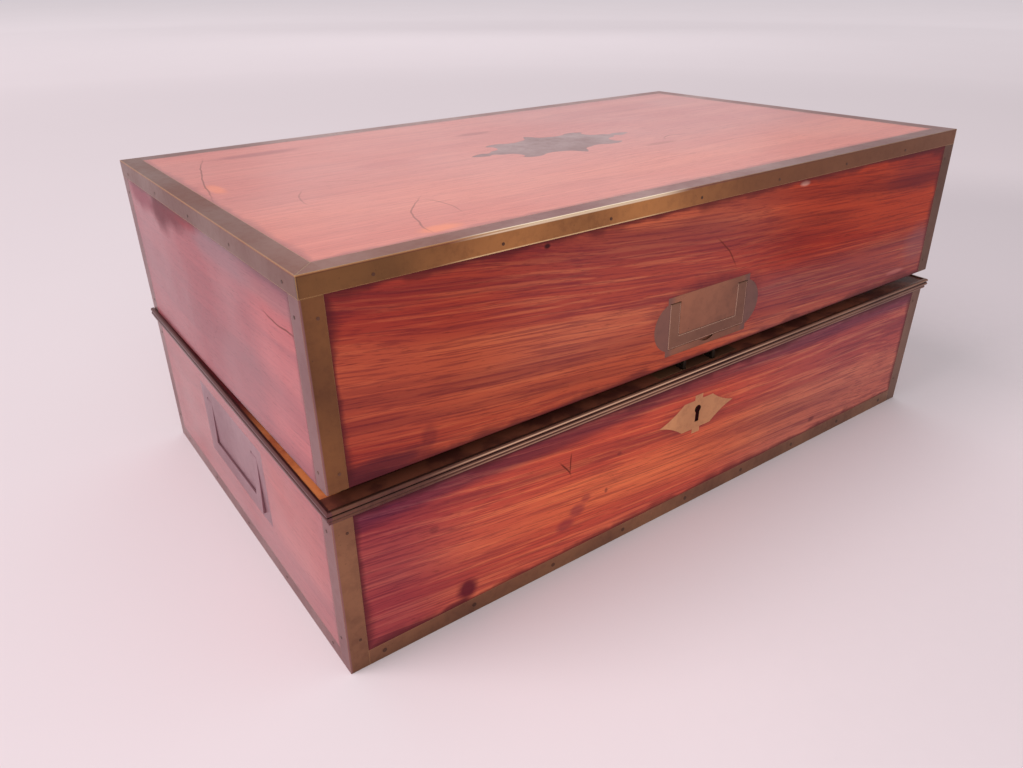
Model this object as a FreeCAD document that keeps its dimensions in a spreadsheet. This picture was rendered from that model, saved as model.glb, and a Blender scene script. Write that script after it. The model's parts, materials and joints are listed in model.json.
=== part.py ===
import FreeCAD, Part
import math
import os

import Sketcher

# A brass-bound writing box. The base carries the lid on two butt hinges at the back, a drawer that
# opens through the right-hand end, and the writing fittings above the drawer. Millimetres and degrees.
# +X runs to the right-hand end, -Y is the front, +Z is up, and the origin is under the middle of the case.

vector = FreeCAD.Vector
doc = FreeCAD.newDocument("letter_writing_box")

sizeRows = [
    # the case
    ("box_length", 500, "case from left end to right end"),
    ("box_depth", 296, "case from front to back"),
    ("base_height", 105, "floor to the rim of the base"),
    ("lid_height", 105, "rim to the top of the closed lid"),
    ("wall", 11, "walls of the base and the lid"),
    ("bottom_thickness", 10, "bottom board"),
    ("top_thickness", 8, "top board of the lid"),
    ("lining_thickness", 0.8, "leather lining under the top board"),
    ("ajar_angle", 1.64, "how far the lid stands open"),
    # brass binding
    ("strap_thickness", 1.2, "brass binding let in flush"),
    ("strap_width", 11, "each leg of the upright corner straps"),
    ("foot_strap_height", 10, "face leg of the straps round the foot"),
    ("foot_strap_leg", 11, "leg of the foot straps under the bottom"),
    ("top_strap_drop", 10.3, "face leg of the straps round the top"),
    ("top_strap_leg", 12, "leg of the top straps on the top face"),
    # reeded moulding round the rim
    ("reed_height", 2.6, "each of the three reeds"),
    ("upper_reed_reach", 2.7, "how far the two upper reeds stand out"),
    ("lower_reed_reach", 1.7, "how far the lowest reed stands out"),
    ("lip_height", 0.85, "moulding above the rim"),
    ("lip_clearance", 0.35, "lip to the face of the lid"),
    # hinges
    ("hinge_offset", 1, "hinge line behind the back face"),
    ("hinge_spacing", 320, "between the middles of the two hinges"),
    ("hinge_length", 50, "each butt hinge"),
    ("barrel_radius", 2.2, "knuckles"),
    ("hinge_pin_radius", 1.1, "pin through the knuckles"),
    ("leaf_thickness", 1.2, "hinge leaves"),
    ("leaf_inset", 1, "leaf edge to the inner face of the wall"),
    ("running_clearance", 0.05, "radial, round pins that turn"),
    ("knuckle_clearance", 0.25, "knuckle to knuckle and knuckle to wood"),
    # drawer
    ("drawer_front_thickness", 9, "drawer front"),
    ("drawer_gap", 0.3, "round the drawer front"),
    ("drawer_side_gap", 0.5, "drawer sides to the case"),
    ("drawer_floor_gap", 0.2, "under the drawer"),
    ("drawer_back_gap", 3, "behind the drawer"),
    ("drawer_wall", 7, "sides and back of the drawer"),
    ("drawer_bottom", 4, "bottom of the drawer"),
    ("drawer_bottom_rise", 3, "drawer bottom above the lower edge of its sides"),
    ("drawer_head_gap", 1, "drawer sides to the floor above"),
    ("groove_depth", 3, "grooves that hold bottoms and floors"),
    # the deck above the drawer
    ("deck_depth", 50, "rim to the underside of the floor above the drawer"),
    ("deck_thickness", 5, "floor above the drawer"),
    ("right_wall", 20, "right-hand board over the drawer box"),
    ("divider_thickness", 5, "divider between the front row and the paper space"),
    ("cross_divider_thickness", 4, "dividers beside the ink wells"),
    ("flap_thickness", 8, "writing flap"),
    ("flap_top_drop", 2, "writing surface below the rim"),
    ("flap_end_gap", 0.5, "flap to the ends of the case"),
    ("flap_back_gap", 1, "flap to the back board"),
    ("flap_pin_radius", 1.5, "pivots of the flap"),
    ("flap_pin_depth", 6, "pivot in the end board"),
    ("flap_pin_reach", 11, "pivot in the flap"),
    ("leather_thickness", 1, "writing leather"),
    ("leather_border", 14, "wood round the leather"),
    # ink bottles and pen tray
    ("bottle_width", 49, "square ink bottles"),
    ("bottle_gap", 1.5, "bottle to its well"),
    ("bottle_height", 24, "bottle to its shoulder"),
    ("bottle_shoulder", 4, "sloping shoulder"),
    ("bottle_wall", 6, "glass wall and foot"),
    ("neck_radius", 11, "bottle neck"),
    ("neck_height", 7, "bottle neck above the shoulder"),
    ("mouth_radius", 7.5, "bore of the neck"),
    ("cap_radius", 14, "brass cap"),
    ("cap_crown", 3.6, "top of the brass cap"),
    ("cap_gap", 0.2, "cap to the neck"),
    ("tray_height", 22, "pen tray"),
    ("tray_ledge", 16, "ledges that carry the pen tray"),
    ("tray_ledge_width", 9, "ledges that carry the pen tray"),
    ("tray_gap", 1.6, "round the pen tray"),
    ("scoop_depth", 16, "hollow of the pen tray"),
    ("scoop_border", 5, "wood beside the hollow"),
    # drop pin that locks the drawer
    ("drop_pin_radius", 1.5, "shank of the drop pin"),
    ("drop_pin_reach", 14, "shank below the knob"),
    ("drop_pin_travel", 10, "how far the pin is drawn up"),
    ("drop_pin_inset", 10, "pin to the right-hand board"),
    ("knob_radius", 3, "knob of the drop pin"),
    # lock
    ("lock_width", 56, "box lock"),
    ("lock_depth", 43, "box lock below the rim"),
    ("lock_body", 8, "box lock through the wall"),
    ("lock_plate_length", 70, "plates in the rims"),
    ("lock_plate_width", 8, "plates in the rims"),
    ("lock_plate_thickness", 1.5, "plates in the rims"),
    ("staple_spacing", 26, "between the two staples"),
    ("staple_thickness", 2.4, "staple"),
    ("staple_width", 6.5, "staple"),
    ("staple_length", 8.5, "staple below its plate"),
    ("staple_eye", 1.75, "radius of the hole in the staple"),
    ("slot_clearance", 0.4, "staple in its slot"),
    ("bolt_thickness", 2.2, "sliding bolt"),
    ("bolt_clearance", 0.25, "bolt in its race"),
    ("bolt_throw", 6, "travel of the bolt"),
    ("keyhole_depth", 31, "rim to the round of the keyhole"),
    ("keyhole_radius", 2.8, "round of the keyhole"),
    ("keyhole_neck", 3.5, "slot of the keyhole"),
    ("keyhole_drop", 9.2, "slot below the round's centre"),
    # escutcheon and cartouche
    ("escutcheon_half_length", 34, "middle to side tip"),
    ("escutcheon_half_height", 10.5, "middle to the top of the body"),
    ("escutcheon_half_body", 13, "middle to the side of the body"),
    ("escutcheon_depth", 34.5, "rim to the middle"),
    ("inlay_thickness", 1, "brass inlays"),
    ("cartouche_half_length", 68.5, "middle to side tip"),
    ("cartouche_half_width", 35.5, "middle to front tip"),
    # lid handle
    ("lid_handle_half_length", 35.25, "straight part of the plate"),
    ("lid_handle_height", 37, "plate"),
    ("lid_handle_level", 25.3, "middle of the plate above the rim"),
    ("lobe_half_chord", 14.5, "round ends of the plate"),
    ("lobe_reach", 10, "how far the round ends stand out"),
    ("lid_bail_length", 66, "bail over its arms"),
    ("lid_bail_arm", 8, "width of the arms"),
    ("lid_bail_bar", 7, "width of the grip"),
    ("lid_bail_rise", 27, "bottom of the grip to the pivots"),
    ("lid_bail_drop", 13.9, "bottom of the grip below the middle of the plate"),
    ("lid_bail_thickness", 2.4, "bail"),
    ("notch_width", 13, "thumb notch"),
    ("notch_drop", 2.3, "thumb notch below the grip"),
    ("notch_depth", 1.2, "thumb notch into the casting"),
    # end handles
    ("end_handle_length", 107, "plate"),
    ("end_handle_height", 52, "plate"),
    ("end_handle_level", 8.5, "middle of the plate above the middle of the base"),
    ("end_bail_length", 87.5, "bail over its arms"),
    ("end_bail_arm", 8.6, "width of the arms"),
    ("end_bail_bar", 8.7, "width of the grip"),
    ("end_bail_rise", 37, "bottom of the grip to the pivots"),
    ("end_bail_drop", 21, "bottom of the grip below the middle of the plate"),
    ("end_bail_thickness", 3.6, "bail"),
    ("end_bail_lean", 2.3, "how far the left bail hangs out"),
    # both kinds of handle
    ("handle_plate_thickness", 1.2, "rim of the casting"),
    ("channel_wall", 3, "casting round the channel"),
    ("channel_floor", 1.1, "casting behind the channel"),
    ("channel_clearance", 0.3, "bail in its channel"),
    ("trunnion_radius", 0.7, "pivots of the bails"),
    ("trunnion_reach", 2, "pivot in the casting"),
]

sheet = doc.addObject("Spreadsheet::Sheet", "Sizes")


class Size:
    """A number that remembers the sheet formula it comes from."""

    def __init__(self, value, formula=None):
        self.value = float(value)
        self.formula = repr(float(value)) if formula is None else formula

    def __add__(self, other):
        other = asSize(other)
        return Size(self.value + other.value, f"({self.formula} + {other.formula})")

    def __sub__(self, other):
        other = asSize(other)
        return Size(self.value - other.value, f"({self.formula} - {other.formula})")

    def __mul__(self, other):
        other = asSize(other)
        return Size(self.value * other.value, f"({self.formula} * {other.formula})")

    def __truediv__(self, other):
        other = asSize(other)
        return Size(self.value / other.value, f"({self.formula} / {other.formula})")

    def __radd__(self, other):
        return asSize(other) + self

    def __rsub__(self, other):
        return asSize(other) - self

    def __rmul__(self, other):
        return asSize(other) * self

    def __neg__(self):
        return Size(-self.value, f"(0 - {self.formula})")


def asSize(number):
    return number if isinstance(number, Size) else Size(number)


def rootOf(size):
    return Size(math.sqrt(size.value), f"sqrt({size.formula})")


class Sizes:
    """Each row of the sheet as an attribute."""


s = Sizes()
for row, (alias, number, meaning) in enumerate(sizeRows, start=1):
    sheet.set(f"A{row}", meaning)
    sheet.set(f"B{row}", str(number))
    sheet.setAlias(f"B{row}", alias)
    setattr(s, alias, Size(number, f"Sizes.{alias}"))
doc.recompute()

# Places that many pieces share.
endX = s.box_length / 2
faceY = s.box_depth / 2
innerX = endX - s.wall
innerY = faceY - s.wall
rimZ = s.base_height
topZ = s.base_height + s.lid_height
hingeY = faceY + s.hinge_offset
deckFoot = rimZ - s.deck_depth
deckTop = deckFoot + s.deck_thickness
rightX = endX - s.right_wall


def turnedAbout(y, z, angle):
    """The Placement formula of a turn about a line along X, downwards for what lies behind the line."""
    return (
        f"placement(vector(0; {y.formula}; {z.formula}); rotation(vector(1; 0; 0); 0 - {angle.formula})) * "
        f"placement(vector(0; 0 - {y.formula}; 0 - {z.formula}); rotation(vector(1; 0; 0); 0))"
    )


tilt = turnedAbout(hingeY, rimZ, s.ajar_angle)
pieces = []
quarterBend = math.tan(math.pi / 8)


def bind(thing, name, size):
    thing.setExpression(name, asSize(size).formula)


def place(thing, spot, turn=None):
    """Binds a shape's place to three sizes, and turns it by (axis, degrees)."""
    axis, degrees = turn or ((1, 0, 0), 0)
    formula = "; ".join(asSize(size).formula for size in spot)
    spin = f"rotation(vector({axis[0]}; {axis[1]}; {axis[2]}); {degrees})"
    thing.setExpression("Placement", f"placement(vector({formula}); {spin})")
    return thing


def block(name, x, y, z):
    thing = doc.addObject("Part::Box", name)
    bind(thing, "Length", asSize(x[1]) - x[0])
    bind(thing, "Width", asSize(y[1]) - y[0])
    bind(thing, "Height", asSize(z[1]) - z[0])
    return place(thing, (x[0], y[0], z[0]))


def rod(name, start, length, radius, along):
    """A cylinder from a start point along +X, +Y, -Y or +Z."""
    turns = {"x": ((0, 1, 0), 90), "y": ((1, 0, 0), -90), "-y": ((1, 0, 0), 90), "z": ((0, 0, 1), 0)}
    thing = doc.addObject("Part::Cylinder", name)
    bind(thing, "Radius", radius)
    bind(thing, "Height", length)
    return place(thing, start, turns[along])


def fuse(name, things):
    thing = doc.addObject("Part::MultiFuse", name)
    thing.Shapes = things
    return thing


def cut(name, base, tools):
    tool = tools[0] if len(tools) == 1 else group(name + "_cuts", tools)
    thing = doc.addObject("Part::Cut", name)
    thing.Base = base
    thing.Tool = tool
    return thing


def common(name, first, second):
    thing = doc.addObject("Part::Common", name)
    thing.Base = first
    thing.Tool = second
    return thing


def group(name, things):
    thing = doc.addObject("Part::Compound", name)
    thing.Links = things
    return thing


def keep(label, thing, onLid=False):
    """Names a finished piece. A piece of the lid is modelled closed, and the group round it stands ajar."""
    if onLid:
        thing = group(f"{label}_on_lid", [thing])
        thing.setExpression("Placement", tilt)
    thing.Label = label
    pieces.append(thing)
    return thing


def drawOutline(body, name, plane, points, lift=0):
    """A closed sketch. A point (x, y) is reached by a line, and (x, y, bend) by an arc: bend is the
    arc's rise over half its chord, above 0 where the path turns left and below 0 where it turns right."""
    sketch = body.newObject("Sketcher::SketchObject", name)
    origin = [item for item in body.Origin.OriginFeatures if item.Role == plane][0]
    sketch.AttachmentSupport = (origin, [""])
    sketch.MapMode = "FlatFace"
    bind(sketch, "AttachmentOffset.Base.z", lift)
    sized = [tuple(asSize(number) for number in point) for point in points]
    ends = [vector(point[0].value, point[1].value, 0) for point in sized]
    order = []
    radii = []
    for index, point in enumerate(sized):
        start = ends[index - 1]
        end = ends[index]
        if len(point) == 2:
            sketch.addGeometry(Part.LineSegment(start, end))
            order.append((1, 2))
            radii.append(None)
            continue
        before = sized[index - 1]
        run = point[0] - before[0]
        climb = point[1] - before[1]
        bend = point[2]
        toLeft = bend.value > 0
        bend = bend if toLeft else -bend
        radius = rootOf(run * run + climb * climb) * (bend * bend + 1) / (bend * 4)
        radii.append(radius)
        chord = end - start
        across = vector(-chord.y, chord.x, 0).normalize()
        rise = math.sqrt(max(radius.value**2 - (chord.Length / 2) ** 2, 0))
        centre = (start + end) * 0.5 + across * (rise if toLeft else -rise)
        angles = [math.atan2(spot.y - centre.y, spot.x - centre.x) for spot in (start, end)]
        if not toLeft:
            angles.reverse()
        circle = Part.Circle(centre, vector(0, 0, 1), radius.value)
        sketch.addGeometry(Part.ArcOfCircle(circle, angles[0], angles[1]))
        order.append((1, 2) if toLeft else (2, 1))
    for index, point in enumerate(sized):
        following = (index + 1) % len(sized)
        sketch.addConstraint(
            Sketcher.Constraint("Coincident", index, order[index][1], following, order[following][0])
        )
    for index, point in enumerate(sized):
        for kind, size in (("DistanceX", point[0]), ("DistanceY", point[1])):
            which = sketch.addConstraint(
                Sketcher.Constraint(kind, -1, 1, index, order[index][1], size.value)
            )
            sketch.setExpression(f"Constraints[{which}]", size.formula)
        if radii[index] is not None:
            which = sketch.addConstraint(Sketcher.Constraint("Radius", index, radii[index].value))
            sketch.setExpression(f"Constraints[{which}]", radii[index].formula)
    return sketch


def padded(name, plane, points, height, lift=0, middle=False):
    """A body made by one sketch and one pad along the sketch's normal."""
    body = doc.addObject("PartDesign::Body", name)
    sketch = drawOutline(body, name + "_outline", plane, points, lift)
    pad = body.newObject("PartDesign::Pad", name + "_pad")
    pad.Profile = sketch
    pad.Midplane = middle
    bind(pad, "Length", height)
    return body


def rectangle(x, y):
    return [(x[0], y[0]), (x[1], y[0]), (x[1], y[1]), (x[0], y[1])]


def fourfold(quarter):
    """The whole outline from the quarter that runs from the right tip to the top tip."""
    steps = list(quarter[1:])
    for index in range(len(quarter) - 2, -1, -1):
        x, y = quarter[index][:2]
        steps.append((-asSize(x), y) + quarter[index + 1][2:])
    return steps + [(-asSize(point[0]), -asSize(point[1])) + point[2:] for point in steps]


sides = {"front": (0, -1), "back": (0, 1), "left": (-1, 0), "right": (1, 0)}
corners = {
    "front_left": (-1, -1),
    "front_right": (1, -1),
    "back_left": (-1, 1),
    "back_right": (1, 1),
}


# Brass binding. Upright corner straps are angles whose legs cover the ends of the walls.


def cornerStrap(name, corner, low, high):
    sideX, sideY = corner
    outX = endX * sideX
    outY = faceY * sideY
    legX = (endX - s.strap_width) * sideX
    legY = (faceY - s.strap_width) * sideY
    backX = (endX - s.strap_thickness) * sideX
    backY = (faceY - s.strap_thickness) * sideY
    points = [(outX, outY), (legX, outY), (legX, backY), (backX, backY), (backX, legY), (outX, legY)]
    return padded(name, "XY_Plane", points, high - low, lift=low)


def edgeStrap(name, side, edge, leg, faceEnd, halfLength):
    """A straight angle along one side: edge is the level of its flat leg, faceEnd the end of its face leg."""
    across, along = ("XZ_Plane", faceY) if side in ("left", "right") else ("YZ_Plane", endX)
    out = endX if side in ("left", "right") else faceY
    sign = sum(sides[side])
    towards = 1 if edge.value < faceEnd.value else -1
    under = edge + s.strap_thickness * towards
    points = [
        (out * sign, edge),
        ((out - leg) * sign, edge),
        ((out - leg) * sign, under),
        ((out - s.strap_thickness) * sign, under),
        ((out - s.strap_thickness) * sign, faceEnd),
        (out * sign, faceEnd),
    ]
    return padded(name, across, points, halfLength * 2, middle=True)


def wedge(name, side):
    """The quarter of the plan nearest to one side, for mitring what meets at the corners."""
    sideX, sideY = sides[side]
    outward = s.upper_reed_reach + 5
    inward = s.wall + s.top_strap_leg
    if sideX:
        points = [
            ((endX + outward) * sideX, -(faceY + outward)),
            ((endX + outward) * sideX, faceY + outward),
            ((endX - inward) * sideX, faceY - inward),
            ((endX - inward) * sideX, -(faceY - inward)),
        ]
    else:
        points = [
            (-(endX + outward), (faceY + outward) * sideY),
            (endX + outward, (faceY + outward) * sideY),
            (endX - inward, (faceY - inward) * sideY),
            (-(endX - inward), (faceY - inward) * sideY),
        ]
    return padded(name, "XY_Plane", points, topZ + 10, lift=-5)


mouldingFoot = rimZ + s.lip_height - s.reed_height * 3
topStrapFoot = topZ - s.top_strap_drop

baseCorners = {}
lidCorners = {}
for name, corner in corners.items():
    baseCorners[name] = cornerStrap(f"base_corner_{name}", corner, asSize(0), mouldingFoot)
    lidCorners[name] = cornerStrap(f"lid_corner_{name}", corner, rimZ, topStrapFoot)

footStraps = {}
topStraps = {}
for side in sides:
    halfLength = faceY if side in ("left", "right") else endX
    foot = edgeStrap(
        f"foot_strap_{side}_blank", side, asSize(0), s.foot_strap_leg, s.foot_strap_height, halfLength
    )
    mitred = common(f"foot_strap_{side}_mitred", foot, wedge(f"foot_wedge_{side}", side))
    footStraps[side] = cut(f"foot_strap_{side}", mitred, list(baseCorners.values()))
    top = edgeStrap(f"top_strap_{side}_blank", side, topZ, s.top_strap_leg, topStrapFoot, halfLength)
    topStraps[side] = common(f"top_strap_{side}", top, wedge(f"top_wedge_{side}", side))
for name, strap in baseCorners.items():
    keep(f"base_corner_strap_{name}", strap)
    keep(f"lid_corner_strap_{name}", lidCorners[name], onLid=True)
footGroup = keep("foot_straps", group("foot_strap_set", list(footStraps.values())))
topGroup = group("top_strap_set", list(topStraps.values()))
keep("lid_top_straps", topGroup, onLid=True)


# Reeded moulding, mitred at the two front corners. Its lip stands above the rim, just clear of the lid.


def mouldingProfile(sign, out):
    """The section, from the wall outwards, with its three reeds as half rounds."""
    half = s.reed_height / 2
    lipTop = rimZ + s.lip_height
    bend = quarterBend * sign
    points = [(out * sign, rimZ), (out * sign, mouldingFoot)]
    for step, reach in enumerate((s.lower_reed_reach, s.upper_reed_reach, s.upper_reed_reach)):
        root = (out + reach - half) * sign
        foot = mouldingFoot + s.reed_height * step
        points.append((root, foot))
        points.append(((out + reach) * sign, foot + half, bend))
        points.append((root, foot + s.reed_height, bend))
    del points[-3]
    points.append(((out + s.lip_clearance) * sign, lipTop))
    points.append(((out + s.lip_clearance) * sign, rimZ))
    return points


longRun = padded(
    "moulding_front_blank",
    "YZ_Plane",
    mouldingProfile(-1, faceY),
    s.box_length + s.upper_reed_reach * 4,
    middle=True,
)
mouldings = [common("moulding_front", longRun, wedge("moulding_wedge_front", "front"))]
for side in ("left", "right"):
    run = padded(
        f"moulding_{side}_blank",
        "XZ_Plane",
        mouldingProfile(sides[side][0], endX),
        s.box_depth + s.upper_reed_reach * 2,
        lift=-faceY,
    )
    mouldings.append(common(f"moulding_{side}", run, wedge(f"moulding_wedge_{side}", side)))
keep("rim_moulding", group("rim_moulding_set", mouldings))


# Flush handles: a casting let into the wood, with a U-shaped channel that holds a hinged bail.
# Each is drawn face up about the middle of its plate and then turned onto its face of the box.

onFront = ((1, 0, 0), 90)
onLeft = ((1, -1, -1), 120)
onRight = ((1, 1, 1), 120)


class Handle:
    def __init__(self, name, outline, length, arm, bar, rise, drop, thickness, spot, turn, notch, lean):
        self.name = name
        back = -thickness
        bead = thickness / 2
        axisLevel = back + bead
        pivot = rise - drop
        gap = s.channel_clearance
        half = length / 2
        top = pivot + bead + gap
        foot = -drop - gap
        floor = back - gap
        depth = s.channel_floor - floor
        self.pivot = pivot
        self.axisLevel = axisLevel

        plate = padded(f"{name}_face", "XY_Plane", outline, s.handle_plate_thickness, lift=-s.handle_plate_thickness)
        wall = s.channel_wall
        box = padded(
            f"{name}_box",
            "XY_Plane",
            rectangle((-(half + gap + wall), half + gap + wall), (foot - wall, top + wall)),
            depth - s.handle_plate_thickness,
            lift=-depth,
        )
        self.blank = place(fuse(f"{name}_blank", [plate, box]), spot, turn)

        inner = half - arm - gap
        shelf = bar - drop + gap
        outer = half + gap
        channel = [
            (-outer, top),
            (-outer, foot),
            (outer, foot),
            (outer, top),
            (inner, top),
            (inner, shelf),
            (-inner, shelf),
            (-inner, top),
        ]
        hollows = [padded(f"{name}_channel", "XY_Plane", channel, 1 - floor, lift=floor)]
        if notch:
            dip = s.notch_width / 2
            points = [(dip, foot + gap), (-dip, foot + gap), (-dip, foot), (dip, foot, s.notch_drop / dip)]
            hollows.append(padded(f"{name}_notch", "XY_Plane", points, s.notch_depth + 1, lift=-s.notch_depth))
        bore = s.trunnion_radius + s.running_clearance
        reach = gap + s.trunnion_reach
        for sign, label in ((-1, "left"), (1, "right")):
            start = half if sign > 0 else -(half + reach + gap)
            hollows.append(rod(f"{name}_bore_{label}", (start, pivot, axisLevel), reach + gap, bore, "x"))
        solid = place(fuse(f"{name}_hollow", hollows), spot, turn)
        self.casting = cut(f"{name}_casting", self.blank, [solid])

        bail = doc.addObject("PartDesign::Body", f"{name}_bail_body")
        side = [
            (-drop, 0),
            (-drop, back),
            (pivot, back),
            (pivot + bead, axisLevel, quarterBend),
            (pivot, 0, quarterBend),
        ]
        profile = drawOutline(bail, f"{name}_bail_side", "YZ_Plane", side)
        pad = bail.newObject("PartDesign::Pad", f"{name}_bail_pad")
        pad.Profile = profile
        pad.Midplane = True
        bind(pad, "Length", length)
        window = rectangle((-(half - arm), half - arm), (bar - drop, pivot + bead + 1))
        opening = drawOutline(bail, f"{name}_bail_window", "XY_Plane", window)
        pocket = bail.newObject("PartDesign::Pocket", f"{name}_bail_pocket")
        pocket.Profile = opening
        pocket.Type = "ThroughAll"
        pocket.Midplane = True
        trunnions = []
        for sign, label in ((-1, "left"), (1, "right")):
            start = half - 1 if sign > 0 else -(half + reach)
            trunnions.append(
                rod(f"{name}_trunnion_{label}", (start, pivot, axisLevel), reach + 1, s.trunnion_radius, "x")
            )
        swing = fuse(f"{name}_swing", [bail] + trunnions)
        swing.setExpression("Placement", turnedAbout(pivot, axisLevel, lean))
        self.bail = place(group(f"{name}_hung", [swing]), spot, turn)


lobe = s.lobe_reach / s.lobe_half_chord
halfPlate = s.lid_handle_height / 2
lidPlate = [
    (s.lid_handle_half_length, -halfPlate),
    (s.lid_handle_half_length, -s.lobe_half_chord),
    (s.lid_handle_half_length, s.lobe_half_chord, lobe),
    (s.lid_handle_half_length, halfPlate),
    (-s.lid_handle_half_length, halfPlate),
    (-s.lid_handle_half_length, s.lobe_half_chord),
    (-s.lid_handle_half_length, -s.lobe_half_chord, lobe),
    (-s.lid_handle_half_length, -halfPlate),
]
lidHandle = Handle(
    "lid_handle",
    lidPlate,
    s.lid_bail_length,
    s.lid_bail_arm,
    s.lid_bail_bar,
    s.lid_bail_rise,
    s.lid_bail_drop,
    s.lid_bail_thickness,
    (0, -faceY, rimZ + s.lid_handle_level),
    onFront,
    True,
    asSize(0),
)
endPlate = rectangle(
    (-s.end_handle_length / 2, s.end_handle_length / 2), (-s.end_handle_height / 2, s.end_handle_height / 2)
)
endHandles = {}
leans = {"left_handle": s.end_bail_lean, "drawer_handle": asSize(0)}
for name, spot, turn in (("left_handle", -endX, onLeft), ("drawer_handle", endX, onRight)):
    endHandles[name] = Handle(
        name,
        endPlate,
        s.end_bail_length,
        s.end_bail_arm,
        s.end_bail_bar,
        s.end_bail_rise,
        s.end_bail_drop,
        s.end_bail_thickness,
        (spot, 0, s.base_height / 2 + s.end_handle_level),
        turn,
        False,
        leans[name],
    )
keep("left_handle_plate", endHandles["left_handle"].casting)
keep("left_handle_bail", endHandles["left_handle"].bail)
keep("drawer_handle_plate", endHandles["drawer_handle"].casting)
keep("drawer_handle_bail", endHandles["drawer_handle"].bail)


# Key escutcheon and top cartouche: thin brass let in flush.

scoop = -0.11
escutcheonQuarter = [
    (s.escutcheon_half_length, 0),
    (s.escutcheon_half_body, s.escutcheon_half_height, scoop),
    (s.escutcheon_half_body * 0.27, s.escutcheon_half_height),
    (s.escutcheon_half_body * 0.27, s.escutcheon_half_height * 1.33),
    (0, s.escutcheon_half_height * 1.33),
]
escutcheonBlank = padded(
    "escutcheon_blank", "XY_Plane", fourfold(escutcheonQuarter), s.inlay_thickness, lift=-s.inlay_thickness
)
place(escutcheonBlank, (0, -faceY, rimZ - s.escutcheon_depth), onFront)

cartoucheQuarter = []
for along, across, bend in (
    (1, 0, None),
    (0.83, 0.135, 0.16),
    (0.75, 0.105, -0.45),
    (0.65, 0.215, 0.25),
    (0.575, 0.39, -0.35),
    (0.63, 0.605, -0.45),
    (0.41, 0.69, 0.35),
    (0.19, 0.66, -0.30),
    (0.07, 0.79, -0.25),
    (0, 1, 0.12),
):
    spot = (s.cartouche_half_length * along, s.cartouche_half_width * across)
    cartoucheQuarter.append(spot if bend is None else spot + (bend,))
cartouche = padded("cartouche", "XY_Plane", fourfold(cartoucheQuarter), s.inlay_thickness, lift=topZ - s.inlay_thickness)


# Box lock. The lid's link plate drops two staples into its slots, and a bolt slides through their eyes.

lockY = -innerY - s.lock_body / 2
lockBack = -innerY - s.lock_body
keyY = -innerY
slotFoot = rimZ - s.staple_length - s.staple_thickness
eyeZ = rimZ - s.staple_length * 0.6
keyholeHalf = s.keyhole_neck / 2
shoulder = rootOf(s.keyhole_radius * s.keyhole_radius - keyholeHalf * keyholeHalf)
keyholeZ = rimZ - s.keyhole_depth
keyholePoints = [
    (-keyholeHalf, keyholeZ - s.keyhole_drop),
    (keyholeHalf, keyholeZ - s.keyhole_drop),
    (keyholeHalf, keyholeZ),
    (-keyholeHalf, keyholeZ),
]
keySlot = padded("key_slot", "XZ_Plane", keyholePoints, s.wall + 2, lift=innerY - 1)
keyRound = rod("key_round", (0, -faceY - 1, keyholeZ), s.wall + 2, s.keyhole_radius, "y")
keyhole = fuse("keyhole", [keySlot, keyRound])

lockBody = block(
    "lock_body",
    (-s.lock_width / 2, s.lock_width / 2),
    (lockBack, keyY),
    (rimZ - s.lock_depth, rimZ - s.lock_plate_thickness),
)
lockFace = block(
    "lock_face",
    (-s.lock_plate_length / 2, s.lock_plate_length / 2),
    (lockY - s.lock_plate_width / 2, lockY + s.lock_plate_width / 2),
    (rimZ - s.lock_plate_thickness, rimZ),
)
lockBlank = fuse("lock_blank", [lockBody, lockFace])

staples = [-s.staple_spacing / 2, s.staple_spacing / 2]
halfSlot = s.staple_thickness / 2 + s.slot_clearance
slotWidth = s.staple_width / 2 + s.slot_clearance
fingerTip = -halfSlot - s.bolt_clearance
fingerRoot = fingerTip - s.bolt_throw
postLeft = fingerRoot - s.bolt_thickness
barTop = slotFoot - s.bolt_thickness / 2
barFoot = barTop - s.bolt_thickness
halfBolt = s.bolt_thickness / 2
cuts = []
comb = [
    block("bolt_bar", (staples[0] + postLeft, staples[1] + fingerRoot), (lockY - halfBolt, lockY + halfBolt), (barFoot, barTop))
]
room = s.bolt_clearance
cuts.append(
    block(
        "bar_race",
        (staples[0] + postLeft - room, staples[1] + fingerRoot + s.bolt_throw + room),
        (lockY - halfBolt - room, lockY + halfBolt + room),
        (barFoot - room, barTop + room),
    )
)
for which, spot in enumerate(staples):
    cuts.append(
        block(
            f"staple_slot_{which}",
            (spot - halfSlot, spot + halfSlot),
            (lockY - slotWidth, lockY + slotWidth),
            (slotFoot, rimZ + 1),
        )
    )
    cuts.append(
        block(
            f"finger_race_{which}",
            (spot + postLeft - room, spot + fingerTip + s.bolt_throw + room),
            (lockY - halfBolt - room, lockY + halfBolt + room),
            (barFoot, eyeZ + halfBolt + room),
        )
    )
    comb.append(
        block(
            f"bolt_post_{which}",
            (spot + postLeft, spot + fingerRoot),
            (lockY - halfBolt, lockY + halfBolt),
            (barFoot, eyeZ + halfBolt),
        )
    )
    comb.append(
        block(
            f"bolt_finger_{which}",
            (spot + postLeft, spot + fingerTip),
            (lockY - halfBolt, lockY + halfBolt),
            (eyeZ - halfBolt, eyeZ + halfBolt),
        )
    )
keep("lock_case", cut("lock_case_cut", lockBlank, [fuse("lock_hollows", cuts + [keyhole])]))
keep("lock_bolt", fuse("lock_bolt_comb", comb))
keep("key_escutcheon", cut("key_escutcheon_cut", escutcheonBlank, [keyhole]))

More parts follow.
